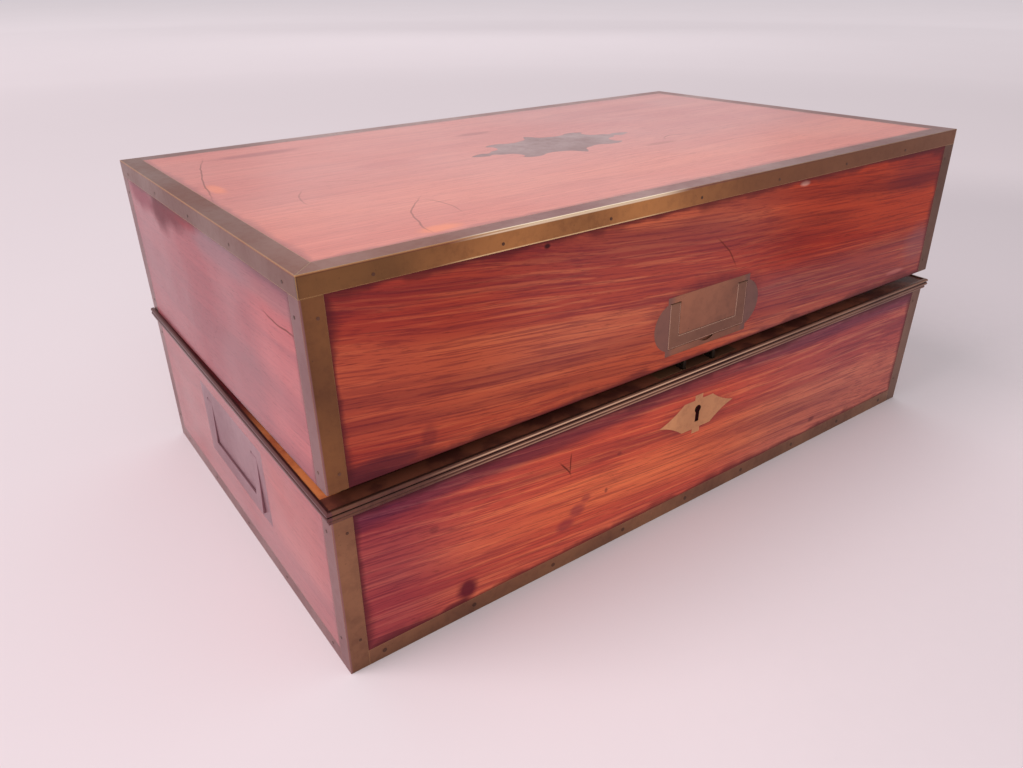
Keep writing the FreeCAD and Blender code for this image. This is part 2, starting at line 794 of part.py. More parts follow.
linkParts = [
    block(
        "link_plate_body",
        (-s.lock_plate_length / 2, s.lock_plate_length / 2),
        (lockY - s.lock_plate_width / 2, lockY + s.lock_plate_width / 2),
        (rimZ, rimZ + s.lock_plate_thickness),
    )
]
eyes = []
for which, spot in enumerate(staples):
    linkParts.append(
        block(
            f"staple_{which}",
            (spot - s.staple_thickness / 2, spot + s.staple_thickness / 2),
            (lockY - s.staple_width / 2, lockY + s.staple_width / 2),
            (rimZ - s.staple_length, rimZ + s.lock_plate_thickness / 2),
        )
    )
    eyes.append(
        rod(f"eye_{which}", (spot - s.staple_thickness, lockY, eyeZ), s.staple_thickness * 2, s.staple_eye, "x")
    )
linkPlate = cut("link_plate", fuse("link_plate_solid", linkParts), [group("eyes", eyes)])


# Butt hinges at the back: two knuckles on the base's leaf, one on the lid's, and a pin through all three.

knuckles = 3
knuckleLength = (s.hinge_length - s.knuckle_clearance * (knuckles - 1)) / knuckles
leafEdge = innerY + s.leaf_inset
hingePins = []
baseLeaves = []
lidLeaves = []
barrelNotches = []
for middle, side in ((-s.hinge_spacing / 2, "left"), (s.hinge_spacing / 2, "right")):
    start = middle - s.hinge_length / 2
    end = middle + s.hinge_length / 2
    axis = (start, hingeY, rimZ)
    hingePins.append(rod(f"hinge_pin_{side}", axis, s.hinge_length, s.hinge_pin_radius, "x"))
    notchStart = (start - s.knuckle_clearance, hingeY, rimZ)
    notchRadius = s.barrel_radius + s.knuckle_clearance
    barrelNotches.append(
        rod(f"barrel_notch_{side}", notchStart, s.hinge_length + s.knuckle_clearance * 2, notchRadius, "x")
    )
    for owner, first, low, high, leaves in (
        ("base", 0, rimZ - s.leaf_thickness, rimZ, baseLeaves),
        ("lid", 1, rimZ, rimZ + s.leaf_thickness, lidLeaves),
    ):
        name = f"{owner}_hinge_{side}"
        solids = [block(f"{name}_plate", (start, end), (leafEdge, hingeY), (low, high))]
        clear = []
        for step in range(knuckles):
            begin = start + (knuckleLength + s.knuckle_clearance) * step
            if step % 2 == first:
                spot = (begin, hingeY, rimZ)
                solids.append(rod(f"{name}_knuckle_{step}", spot, knuckleLength, s.barrel_radius, "x"))
            else:
                spot = (begin - s.knuckle_clearance, hingeY, rimZ)
                long = knuckleLength + s.knuckle_clearance * 2
                clear.append(rod(f"{name}_clear_{step}", spot, long, notchRadius, "x"))
        bore = s.hinge_pin_radius + (s.running_clearance if owner == "lid" else 0)
        clear.append(rod(f"{name}_bore", (start - 1, hingeY, rimZ), s.hinge_length + 2, bore, "x"))
        leaves.append(cut(name, fuse(f"{name}_solid", solids), [fuse(f"{name}_clear", clear)]))
hingePinGroup = keep("hinge_pins", group("hinge_pin_pair", hingePins))
baseLeafGroup = keep("base_hinge_leaves", group("base_leaf_pair", baseLeaves))
lidLeafGroup = group("lid_leaf_pair", lidLeaves)
notchPair = group("barrel_notch_pair", barrelNotches)


# Deck over the drawer, held in grooves in the four walls, and the fittings that stand on it.

wellDepth = s.bottle_width + s.bottle_gap * 2
wellBack = -innerY + wellDepth
deckBlank = block(
    "deck_blank",
    (-innerX - s.groove_depth, rightX + s.groove_depth),
    (-innerY - s.groove_depth, innerY + s.groove_depth),
    (deckFoot, deckTop),
)
sideCentre = innerY - s.drawer_side_gap - s.drawer_wall / 2
pinX = rightX - s.drop_pin_inset
pinBottom = deckTop + s.drop_pin_travel - s.drop_pin_reach
pinBore = rod(
    "drop_pin_bore", (pinX, sideCentre, deckFoot - 1), s.deck_thickness + 2, s.drop_pin_radius + s.running_clearance, "z"
)
deck = keep("compartment_floor", cut("deck_cut", deckBlank, [pinBore]))

flapTop = rimZ - s.flap_top_drop
flapFoot = flapTop - s.flap_thickness
long_ = block("long_divider_block", (-innerX, rightX), (wellBack, wellBack + s.divider_thickness), (deckTop, flapFoot))
keep("long_divider", long_)
leftWell = -innerX + wellDepth
rightWell = rightX - wellDepth
crossPair = [
    block("cross_left", (leftWell, leftWell + s.cross_divider_thickness), (-innerY, wellBack), (deckTop, flapFoot)),
    block("cross_right", (rightWell - s.cross_divider_thickness, rightWell), (-innerY, wellBack), (deckTop, flapFoot)),
]
keep("ink_dividers", group("ink_divider_pair", crossPair))
trayLeft = leftWell + s.cross_divider_thickness
trayRight = rightWell - s.cross_divider_thickness
ledgeTop = deckTop + s.tray_ledge
ledgePair = [
    block("ledge_left", (trayLeft, trayLeft + s.tray_ledge_width), (-innerY, wellBack), (deckTop, ledgeTop)),
    block("ledge_right", (trayRight - s.tray_ledge_width, trayRight), (-innerY, wellBack), (deckTop, ledgeTop)),
]
keep("tray_ledges", group("tray_ledge_pair", ledgePair))

trayX = (trayLeft + s.tray_gap, trayRight - s.tray_gap)
trayY = (-innerY + s.tray_gap, wellBack - s.tray_gap)
trayTop = ledgeTop + s.tray_height
halfScoop = (trayY[1] - trayY[0]) / 2 - s.scoop_border
scoopRadius = (halfScoop * halfScoop + s.scoop_depth * s.scoop_depth) / (s.scoop_depth * 2)
scoopZ = trayTop + scoopRadius - s.scoop_depth
scoopY = (trayY[0] + trayY[1]) / 2
scoopX = (trayX[0] + s.scoop_border + halfScoop, trayX[1] - s.scoop_border - halfScoop)
trough = rod("tray_trough", (scoopX[0], scoopY, scoopZ), scoopX[1] - scoopX[0], scoopRadius, "x")
troughEnds = []
for which in (0, 1):
    ball = doc.addObject("Part::Sphere", f"tray_trough_end_{which}")
    bind(ball, "Radius", scoopRadius)
    troughEnds.append(place(ball, (scoopX[which], scoopY, scoopZ)))
trayBlock = block("pen_tray_block", trayX, trayY, (ledgeTop, trayTop))
keep("pen_tray", cut("pen_tray_cut", trayBlock, [fuse("tray_scoop", [trough] + troughEnds)]))


# Ink bottles: square glass with sloping shoulders and a round bore, each under a brass cap.


def inkBottle(side, middleX):
    middleY = -innerY + wellDepth / 2
    half = s.bottle_width / 2
    bodyTop = deckTop + s.bottle_height
    shoulderTop = bodyTop + s.bottle_shoulder
    neckTop = shoulderTop + s.neck_height
    base = block(
        f"bottle_{side}_base", (middleX - half, middleX + half), (middleY - half, middleY + half), (deckTop, bodyTop)
    )
    neck = rod(
        f"bottle_{side}_neck", (middleX, middleY, bodyTop), s.bottle_shoulder + s.neck_height, s.neck_radius, "z"
    )
    slope = doc.addObject("Part::Cone", f"bottle_{side}_slope")
    bind(slope, "Radius1", half)
    bind(slope, "Radius2", s.neck_radius)
    bind(slope, "Height", s.bottle_shoulder)
    place(slope, (middleX, middleY, bodyTop))
    well = rod(
        f"bottle_{side}_well",
        (middleX, middleY, deckTop + s.bottle_wall),
        s.bottle_height - s.bottle_wall,
        half - s.bottle_wall,
        "z",
    )
    mouth = rod(
        f"bottle_{side}_mouth",
        (middleX, middleY, deckTop + s.bottle_wall),
        neckTop - deckTop,
        s.mouth_radius,
        "z",
    )
    glass = fuse(f"bottle_{side}_glass", [base, slope, neck])
    keep(f"ink_bottle_{side}", cut(f"bottle_{side}", glass, [fuse(f"bottle_{side}_hollow", [well, mouth])]))

    capTop = neckTop + s.cap_crown
    capFoot = shoulderTop + s.cap_gap
    slant = s.cap_crown * 0.6
    shell = rod(f"cap_{side}_shell", (middleX, middleY, capFoot), capTop - slant - capFoot, s.cap_radius, "z")
    crown = doc.addObject("Part::Cone", f"cap_{side}_crown")
    bind(crown, "Radius1", s.cap_radius)
    bind(crown, "Radius2", s.cap_radius - slant * 2)
    bind(crown, "Height", slant)
    place(crown, (middleX, middleY, capTop - slant))
    inside = rod(
        f"cap_{side}_inside", (middleX, middleY, capFoot - 1), neckTop - capFoot + 1, s.neck_radius + s.cap_gap, "z"
    )
    keep(f"ink_cap_{side}", cut(f"cap_{side}", fuse(f"cap_{side}_solid", [shell, crown]), [inside]))


inkBottle("left", -innerX + wellDepth / 2)
inkBottle("right", rightX - wellDepth / 2)


# Writing flap: a board with a leather top that lifts on two pivots near the back.

flapX = (-innerX + s.flap_end_gap, rightX - s.flap_end_gap)
flapBack = innerY - s.flap_back_gap
halfFlap = s.flap_thickness / 2
pivotY = flapBack - halfFlap
pivotZ = flapFoot + halfFlap
flapFront = wellBack
flapSide = [
    (flapFront, flapFoot),
    (pivotY, flapFoot),
    (pivotY + halfFlap, pivotZ, quarterBend),
    (pivotY, flapTop, quarterBend),
    (flapFront, flapTop),
]
flapBlank = padded("flap_blank", "YZ_Plane", flapSide, flapX[1] - flapX[0], lift=flapX[0])
pivots = [
    rod(
        "flap_pivot_left",
        (-innerX - s.flap_pin_depth, pivotY, pivotZ),
        s.flap_pin_depth + s.flap_pin_reach,
        s.flap_pin_radius,
        "x",
    ),
    rod(
        "flap_pivot_right",
        (rightX - s.flap_pin_reach, pivotY, pivotZ),
        s.flap_pin_depth + s.flap_pin_reach,
        s.flap_pin_radius,
        "x",
    ),
]
pivotPair = keep("flap_pivots", group("flap_pivot_pair", pivots))
leather = block(
    "leather_sheet",
    (flapX[0] + s.leather_border, flapX[1] - s.leather_border),
    (flapFront + s.leather_border, pivotY - s.leather_border / 2),
    (flapTop - s.leather_thickness, flapTop),
)
keep("flap_leather", leather)
keep("flap_board", cut("flap_cut", flapBlank, [pivotPair, leather]))
pivotHoles = []
for side, start in (("left", -innerX - s.flap_pin_depth), ("right", rightX - 1)):
    pivotHoles.append(
        rod(
            f"flap_hole_{side}",
            (start - (0.2 if side == "left" else 0), pivotY, pivotZ),
            s.flap_pin_depth + 1.2,
            s.flap_pin_radius + s.running_clearance,
            "x",
        )
    )


# Drop pin: drawn up it frees the drawer, let down it enters the drawer's back side.

shank = rod("drop_pin_shank", (pinX, sideCentre, pinBottom), s.drop_pin_reach + s.knob_radius, s.drop_pin_radius, "z")
knob = doc.addObject("Part::Cone", "drop_pin_knob")
bind(knob, "Radius1", s.drop_pin_radius)
bind(knob, "Radius2", s.knob_radius)
bind(knob, "Height", s.knob_radius * 1.5)
place(knob, (pinX, sideCentre, pinBottom + s.drop_pin_reach + s.knob_radius / 2))
collar = rod("drop_pin_collar", (pinX, sideCentre, pinBottom + s.drop_pin_reach), s.knob_radius / 2, s.knob_radius, "z")
keep("drawer_pin", fuse("drop_pin", [shank, collar, knob]))


# Drawer through the right-hand end.

frontFoot = s.bottom_thickness + s.drawer_gap
frontTop = mouldingFoot - s.drawer_gap
frontInner = endX - s.drawer_front_thickness
drawerHalf = innerY - s.drawer_side_gap
drawerFoot = s.bottom_thickness + s.drawer_floor_gap
drawerTop = deckFoot - s.drawer_head_gap
drawerBack = -innerX + s.drawer_back_gap
sideLength = (drawerBack, frontInner)
bottomZ = (drawerFoot + s.drawer_bottom_rise, drawerFoot + s.drawer_bottom_rise + s.drawer_bottom)
groove = s.drawer_wall / 2
drawerBottom = block(
    "drawer_bottom_panel",
    (drawerBack + groove, frontInner + groove),
    (-(drawerHalf - groove), drawerHalf - groove),
    bottomZ,
)
keep("drawer_bottom", drawerBottom)
frontBoard = block(
    "drawer_front_board", (frontInner, endX), (-(innerY - s.drawer_gap), innerY - s.drawer_gap), (frontFoot, frontTop)
)
keep("drawer_front", cut("drawer_front_cut", frontBoard, [endHandles["drawer_handle"].blank, drawerBottom]))
pinHole = rod(
    "drop_pin_hole",
    (pinX, sideCentre, pinBottom - s.drop_pin_travel - 1),
    drawerTop - pinBottom + s.drop_pin_travel + 2,
    s.drop_pin_radius + s.cap_gap,
    "z",
)
for side, sign in (("front", -1), ("back", 1)):
    inner = (drawerHalf - s.drawer_wall) * sign
    outer = drawerHalf * sign
    span = (outer, inner) if sign < 0 else (inner, outer)
    board = block(f"drawer_side_{side}_board", sideLength, span, (drawerFoot, drawerTop))
    tools = [drawerBottom] if side == "front" else [drawerBottom, pinHole]
    keep(f"drawer_side_{side}", cut(f"drawer_side_{side}_cut", board, tools))
backBoard = block(
    "drawer_back_board",
    (drawerBack, drawerBack + s.drawer_wall),
    (-(drawerHalf - s.drawer_wall), drawerHalf - s.drawer_wall),
    (drawerFoot, drawerTop),
)
keep("drawer_back", cut("drawer_back_cut", backBoard, [drawerBottom]))


def frontStraps(straps):
    return [strap for name, strap in straps.items() if name.startswith("front")]


def backStraps(straps):
    return [strap for name, strap in straps.items() if name.startswith("back")]


# Boards of the base. Front and back run the full length, with the end boards between them.

bottomBoard = block("bottom_block", (-endX, endX), (-faceY, faceY), (0, s.bottom_thickness))
keep("base_bottom_board", cut("bottom_cut", bottomBoard, list(baseCorners.values()) + [footGroup]))
frontBlock = block("base_front_block", (-endX, endX), (-faceY, -innerY), (s.bottom_thickness, rimZ))
keep(
    "base_front_board",
    cut(
        "base_front_cut",
        frontBlock,
        frontStraps(baseCorners) + [footGroup, escutcheonBlank, keyhole, lockBlank, deck],
    ),
)
backBlock = block("base_back_block", (-endX, endX), (innerY, faceY), (s.bottom_thickness, rimZ))
keep(
    "base_back_board",
    cut(
        "base_back_cut",
        backBlock,
        backStraps(baseCorners) + [footGroup, baseLeafGroup, notchPair, deck],
    ),
)
leftBlock = block("base_left_block", (-endX, -innerX), (-innerY, innerY), (s.bottom_thickness, rimZ))
keep(
    "base_left_board",
    cut("base_left_cut", leftBlock, [endHandles["left_handle"].blank, deck, pivotHoles[0], footGroup]),
)
railFoot = mouldingFoot
rightPoints = [
    (rightX, deckFoot),
    (frontInner - s.drawer_gap, deckFoot),
    (frontInner - s.drawer_gap, railFoot),
    (endX, railFoot),
    (endX, rimZ),
    (rightX, rimZ),
]
rightBody = padded("base_right_blank", "XZ_Plane", rightPoints, innerY * 2, middle=True)
keep("base_right_board", cut("base_right_cut", rightBody, [deck, pivotHoles[1]]))


# Boards of the lid, drawn closed and turned with the lid.

lidWallTop = topZ - s.top_thickness
topBlock = block("lid_top_block", (-endX, endX), (-faceY, faceY), (lidWallTop, topZ))
topCut = cut("lid_top_cut", topBlock, [topGroup, cartouche])
lidFrontBlock = block("lid_front_block", (-endX, endX), (-faceY, -innerY), (rimZ, lidWallTop))
lidFrontCut = cut(
    "lid_front_cut",
    lidFrontBlock,
    frontStraps(lidCorners) + [topGroup, lidHandle.blank, linkPlate],
)
lidBackBlock = block("lid_back_block", (-endX, endX), (innerY, faceY), (rimZ, lidWallTop))
lidBackCut = cut(
    "lid_back_cut",
    lidBackBlock,
    backStraps(lidCorners) + [topGroup, lidLeafGroup, notchPair],
)
for side, sign in (("left", -1), ("right", 1)):
    span = (-endX, -innerX) if sign < 0 else (innerX, endX)
    board = block(f"lid_{side}_block", span, (-innerY, innerY), (rimZ, lidWallTop))
    keep(f"lid_{side}_board", cut(f"lid_{side}_cut", board, [topGroup]), onLid=True)
lining = block(
    "lining_sheet", (-innerX, innerX), (-innerY, innerY), (lidWallTop - s.lining_thickness, lidWallTop)
)
keep("lid_top_board", topCut, onLid=True)
keep("lid_front_board", lidFrontCut, onLid=True)
keep("lid_back_board", lidBackCut, onLid=True)
keep("lid_lining", lining, onLid=True)
keep("top_cartouche", cartouche, onLid=True)
keep("lid_handle_plate", lidHandle.casting, onLid=True)
keep("lid_handle_bail", lidHandle.bail, onLid=True)
keep("lock_link_plate", linkPlate, onLid=True)
keep("lid_hinge_leaves", lidLeafGroup, onLid=True)

doc.recompute()

for thing in doc.Objects:
    if "Invalid" in thing.State or "Error" in thing.State:
        raise RuntimeError(f"{thing.Name} did not build: {thing.State}")

os.makedirs("parts", exist_ok=True)
for thing in pieces:
    shape = thing.Shape
    if shape.isNull() or not shape.isValid() or not shape.Solids:
        raise RuntimeError(f"{thing.Label} has no sound shape")
    shape.exportStep(f"parts/{thing.Label}.step")
print(f"{len(pieces)} pieces written")
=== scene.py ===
import json
import math

import bmesh
import bpy
from mathutils import Matrix, Vector


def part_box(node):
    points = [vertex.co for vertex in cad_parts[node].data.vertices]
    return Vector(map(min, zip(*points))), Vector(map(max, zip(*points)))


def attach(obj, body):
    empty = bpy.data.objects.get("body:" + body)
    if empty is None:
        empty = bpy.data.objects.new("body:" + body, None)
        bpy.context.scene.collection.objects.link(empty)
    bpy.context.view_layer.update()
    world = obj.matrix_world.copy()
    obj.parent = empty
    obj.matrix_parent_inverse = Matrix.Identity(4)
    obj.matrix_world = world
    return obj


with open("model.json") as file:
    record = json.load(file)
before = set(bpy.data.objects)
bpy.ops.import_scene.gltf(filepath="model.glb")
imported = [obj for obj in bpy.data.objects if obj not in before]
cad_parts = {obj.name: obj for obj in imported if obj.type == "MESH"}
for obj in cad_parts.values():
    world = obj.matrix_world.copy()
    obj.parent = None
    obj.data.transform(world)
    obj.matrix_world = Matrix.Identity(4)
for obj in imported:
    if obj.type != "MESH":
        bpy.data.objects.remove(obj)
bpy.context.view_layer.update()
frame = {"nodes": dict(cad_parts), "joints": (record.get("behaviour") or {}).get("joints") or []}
nodes = frame["nodes"]
millimetre = 0.001
print("frame loaded:", len(nodes), "nodes")

# The case, as the frame gives it. The lid is drawn closed and stands a little open.
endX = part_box("base_front_board")[1][0]
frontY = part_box("base_front_board")[0][1]
backY = -frontY
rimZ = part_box("base_front_board")[1][2]
lidHinge = [joint for joint in frame["joints"] if joint["name"] == "lid_hinge"][0]
ajar = math.radians(-lidHinge["range_deg"][0])
hingePoint = Vector(lidHinge["pos_m"])
lidTurn = (
    Matrix.Translation(hingePoint) @ Matrix.Rotation(-ajar, 4, "X") @ Matrix.Translation(-hingePoint)
)
closedTop = 2 * rimZ  # top of the box when it is shut, as lid and base are equally high


# Small helpers for shader trees.
def addNode(tree, kind, **settings):
    node = tree.nodes.new(kind)
    for key, value in settings.items():
        setattr(node, key, value)
    return node


def join(tree, source, socket):
    if isinstance(source, (int, float)):
        socket.default_value = source
    elif isinstance(source, (tuple, list)):
        socket.default_value = tuple(source) + ((1,) if len(socket.default_value) > len(source) else ())
    else:
        tree.links.new(source, socket)


def compute(tree, operation, first, second=0.0, clamp=False):
    node = addNode(tree, "ShaderNodeMath", operation=operation, use_clamp=clamp)
    join(tree, first, node.inputs[0])
    join(tree, second, node.inputs[1])
    return node.outputs[0]


def mixColor(tree, amount, first, second, way="MIX"):
    node = addNode(tree, "ShaderNodeMix", data_type="RGBA", blend_type=way, clamp_factor=True)
    join(tree, amount, node.inputs["Factor"])
    join(tree, first, node.inputs[6])
    join(tree, second, node.inputs[7])
    return node.outputs[2]


def between(tree, value, low, high, lowOut=0.0, highOut=1.0):
    node = addNode(tree, "ShaderNodeMapRange", interpolation_type="SMOOTHSTEP")
    join(tree, value, node.inputs["Value"])
    node.inputs["From Min"].default_value = low
    node.inputs["From Max"].default_value = high
    node.inputs["To Min"].default_value = lowOut
    node.inputs["To Max"].default_value = highOut
    return node.outputs["Result"]


def noise(tree, vector, scale, detail=3.0, roughness=0.55, stretch=(1, 1, 1), offset=(0, 0, 0)):
    mapping = addNode(tree, "ShaderNodeMapping")
    tree.links.new(vector, mapping.inputs["Vector"])
    mapping.inputs["Scale"].default_value = stretch
    mapping.inputs["Location"].default_value = offset
    texture = addNode(tree, "ShaderNodeTexNoise")
    tree.links.new(mapping.outputs[0], texture.inputs["Vector"])
    texture.inputs["Scale"].default_value = scale
    texture.inputs["Detail"].default_value = detail
    texture.inputs["Roughness"].default_value = roughness
    return texture.outputs["Fac"]


def newGroup(name, takes, gives):
    tree = bpy.data.node_groups.new(name, "ShaderNodeTree")
    for label, kind, value in takes:
        socket = tree.interface.new_socket(name=label, in_out="INPUT", socket_type=kind)
        if value is not None:
            socket.default_value = value
    for label, kind in gives:
        tree.interface.new_socket(name=label, in_out="OUTPUT", socket_type=kind)
    inside = addNode(tree, "NodeGroupInput")
    outside = addNode(tree, "NodeGroupOutput")
    return tree, inside, outside


# Mahogany: broad bands, streaks and pores that run along X of the vector it is given.
def buildGrainGroup():
    tree, inside, outside = newGroup(
        "mahoganyGrain",
        [
            ("Vector", "NodeSocketVector", None),
            ("Ground", "NodeSocketColor", (0.36, 0.07, 0.04, 1)),
            ("Band", "NodeSocketColor", (0.5, 0.16, 0.07, 1)),
            ("Streak", "NodeSocketColor", (0.1, 0.02, 0.02, 1)),
            ("Figure", "NodeSocketFloat", 0.6),
            ("Streaks", "NodeSocketFloat", 0.5),
            ("Threads", "NodeSocketFloat", 0.6),
            ("Pores", "NodeSocketFloat", 0.35),
        ],
        [("Color", "NodeSocketColor"), ("Roughness", "NodeSocketFloat"), ("Height", "NodeSocketFloat")],
    )
    vector = inside.outputs["Vector"]
    sway = compute(tree, "SUBTRACT", noise(tree, vector, 4.0, 1.5, 0.45, (0.8, 1.3, 1.3)), 0.5)
    bend = addNode(tree, "ShaderNodeCombineXYZ")
    join(tree, compute(tree, "MULTIPLY", sway, 0.030), bend.inputs["Z"])
    join(tree, compute(tree, "MULTIPLY", sway, 0.030), bend.inputs["Y"])
    moved = addNode(tree, "ShaderNodeVectorMath", operation="ADD")
    tree.links.new(vector, moved.inputs[0])
    tree.links.new(bend.outputs[0], moved.inputs[1])
    bent = moved.outputs[0]
    bands = noise(tree, bent, 1.0, 2.0, 0.5, (1.6, 22, 22))
    ribbons = noise(tree, bent, 1.0, 3.0, 0.55, (2.2, 70, 70), (3, 7, 1))
    threads = noise(tree, bent, 1.0, 3.0, 0.6, (9, 360, 360), (5, 2, 9))
    lines = noise(tree, bent, 1.0, 3.0, 0.65, (18, 900, 900), (2, 6, 4))
    pores = noise(tree, bent, 1.0, 2.0, 0.5, (130, 2100, 2100), (1, 8, 3))
    flame = noise(tree, bent, 1.0, 2.5, 0.55, (3.2, 34, 34), (9, 4, 2))
    color = mixColor(
        tree,
        compute(tree, "MULTIPLY", between(tree, bands, 0.40, 0.60), inside.outputs["Figure"]),
        inside.outputs["Ground"],
        inside.outputs["Band"],
    )
    glow = compute(tree, "MULTIPLY", between(tree, threads, 0.50, 0.62), inside.outputs["Threads"])
    color = mixColor(tree, glow, color, inside.outputs["Band"])
    dark = compute(tree, "MULTIPLY", between(tree, ribbons, 0.50, 0.64), inside.outputs["Streaks"])
    color = mixColor(tree, dark, color, inside.outputs["Streak"])
    deep = compute(tree, "MULTIPLY", between(tree, flame, 0.54, 0.70), inside.outputs["Streaks"])
    color = mixColor(tree, deep, color, inside.outputs["Streak"])
    fine = compute(tree, "MULTIPLY", between(tree, lines, 0.48, 0.60), inside.outputs["Threads"])
    color = mixColor(tree, fine, color, inside.outputs["Streak"])
    pore = compute(tree, "MULTIPLY", between(tree, pores, 0.60, 0.70), inside.outputs["Pores"])
    color = mixColor(tree, pore, color, (0.03, 0.008, 0.008))
    join(tree, color, outside.inputs["Color"])
    matt = compute(tree, "MULTIPLY", pore, 0.2)
    join(tree, compute(tree, "ADD", matt, 0.34), outside.inputs["Roughness"])
    height = compute(tree, "SUBTRACT", compute(tree, "MULTIPLY", lines, 0.25), pore)
    join(tree, height, outside.inputs["Height"])
    return tree


# Dirt and darker polish, with painted shade, along the border of a panel between two opposite corners.
def buildBorderGroup():
    tree, inside, outside = newGroup(
        "borderGrimeAndShade",
        [
            ("Vector", "NodeSocketVector", None),
            ("Low", "NodeSocketVector", (-1, -1, -1)),
            ("High", "NodeSocketVector", (1, 1, 1)),
            ("Width", "NodeSocketFloat", 0.006),
        ],
        [("Mask", "NodeSocketFloat")],
    )
    vector = inside.outputs["Vector"]
    near = None
    for first, second in (("Vector", "Low"), ("High", "Vector")):
        gap = addNode(tree, "ShaderNodeVectorMath", operation="SUBTRACT")
        tree.links.new(inside.outputs[first], gap.inputs[0])
        tree.links.new(inside.outputs[second], gap.inputs[1])
        parts = addNode(tree, "ShaderNodeSeparateXYZ")
        tree.links.new(gap.outputs[0], parts.inputs[0])
        for axis in range(3):
            side = parts.outputs[axis]
            near = side if near is None else compute(tree, "MINIMUM", near, side)
    patch = noise(tree, vector, 38.0, 3.0)
    width = compute(tree, "MULTIPLY", inside.outputs["Width"], between(tree, patch, 0.3, 0.75, 0.45, 1.9))
    share = compute(tree, "DIVIDE", near, width)
    join(tree, between(tree, share, 0.0, 1.0, 1.0, 0.0), outside.inputs["Mask"])
    return tree


# Old brass: brown tarnish in clouds, small dark spots, and fine scratches.
def buildBrassGroup():
    tree, inside, outside = newGroup(
        "agedBrass",
        [
            ("Vector", "NodeSocketVector", None),
            ("Bright", "NodeSocketColor", (0.55, 0.40, 0.20, 1)),
            ("Tarnish", "NodeSocketColor", (0.22, 0.13, 0.08, 1)),
            ("Amount", "NodeSocketFloat", 0.6),
        ],
        [("Color", "NodeSocketColor"), ("Roughness", "NodeSocketFloat"), ("Height", "NodeSocketFloat")],
    )
    vector = inside.outputs["Vector"]
    clouds = noise(tree, vector, 15.0, 3.0, 0.5)
    grainy = noise(tree, vector, 240.0, 3.0, 0.6)
    spots = noise(tree, vector, 520.0, 2.0, 0.5)
    scratches = noise(tree, vector, 1.0, 2.0, 0.5, (60, 1500, 900))
    amount = compute(tree, "MULTIPLY", between(tree, clouds, 0.28, 0.72), inside.outputs["Amount"])
    dusty = compute(tree, "MULTIPLY", between(tree, grainy, 0.4, 0.7), 0.18)
    amount = compute(tree, "ADD", amount, dusty, True)
    color = mixColor(tree, amount, inside.outputs["Bright"], inside.outputs["Tarnish"])
    specks = compute(tree, "MULTIPLY", between(tree, spots, 0.68, 0.76), 0.4)
    color = mixColor(tree, specks, color, (0.06, 0.035, 0.025))
    join(tree, color, outside.inputs["Color"])
    dull = compute(tree, "MULTIPLY", amount, 0.22)
    join(tree, compute(tree, "ADD", dull, 0.27), outside.inputs["Roughness"])
    height = compute(tree, "ADD", compute(tree, "MULTIPLY", scratches, 0.5), grainy)
    join(tree, height, outside.inputs["Height"])
    return tree


grainGroup = buildGrainGroup()
borderGroup = buildBorderGroup()
brassGroup = buildBrassGroup()


def newMaterial(name):
    material = bpy.data.materials.new(name)
    material.use_nodes = True
    tree = material.node_tree
    tree.nodes.clear()
    output = addNode(tree, "ShaderNodeOutputMaterial")
    shader = addNode(tree, "ShaderNodeBsdfPrincipled")
    tree.links.new(shader.outputs[0], output.inputs["Surface"])
    place = addNode(tree, "ShaderNodeTexCoord").outputs["Object"]
    return material, tree, shader, place


def edgeMask(tree, radius):
    # where the rounded normal leaves the flat one: on the arrises
    soft = addNode(tree, "ShaderNodeBevel", samples=6)
    soft.inputs["Radius"].default_value = radius
    flat = addNode(tree, "ShaderNodeNewGeometry").outputs["True Normal"]
    likeness = addNode(tree, "ShaderNodeVectorMath", operation="DOT_PRODUCT")
    tree.links.new(soft.outputs[0], likeness.inputs[0])
    tree.links.new(flat, likeness.inputs[1])
    return between(tree, likeness.outputs["Value"], 0.80, 0.985, 1.0, 0.0)


def addBump(tree, shader, height, strength, distance, edge=0.0):
    bump = addNode(tree, "ShaderNodeBump")
    bump.inputs["Strength"].default_value = strength
    bump.inputs["Distance"].default_value = distance
    join(tree, height, bump.inputs["Height"])
    if edge:
        soft = addNode(tree, "ShaderNodeBevel", samples=4)
        soft.inputs["Radius"].default_value = edge
        tree.links.new(soft.outputs[0], bump.inputs["Normal"])
    tree.links.new(bump.outputs[0], shader.inputs["Normal"])


def aligned(tree, place, axis, slope=0.0, bow=0.0, shift=(0, 0, 0)):
    # turns the grain's X onto the board's length; slope and bow tip and bend its lines across the face
    turns = {"x": (0, 0, 0), "y": (0, 0, -math.pi / 2), "z": (0, math.pi / 2, 0)}
    mapping = addNode(tree, "ShaderNodeMapping")
    tree.links.new(place, mapping.inputs["Vector"])
    mapping.inputs["Rotation"].default_value = turns[axis]
    parts = addNode(tree, "ShaderNodeSeparateXYZ")
    tree.links.new(mapping.outputs[0], parts.inputs[0])
    steepness = compute(tree, "ADD", compute(tree, "MULTIPLY", parts.outputs["X"], bow), slope)
    rise = addNode(tree, "ShaderNodeCombineXYZ")
    join(tree, compute(tree, "MULTIPLY", parts.outputs["X"], steepness), rise.inputs["Z"])
    moved = addNode(tree, "ShaderNodeVectorMath", operation="SUBTRACT")
    tree.links.new(mapping.outputs[0], moved.inputs[0])
    tree.links.new(rise.outputs[0], moved.inputs[1])
    shifted = addNode(tree, "ShaderNodeVectorMath", operation="ADD")
    tree.links.new(moved.outputs[0], shifted.inputs[0])
    shifted.inputs[1].default_value = shift
    return shifted.outputs[0]


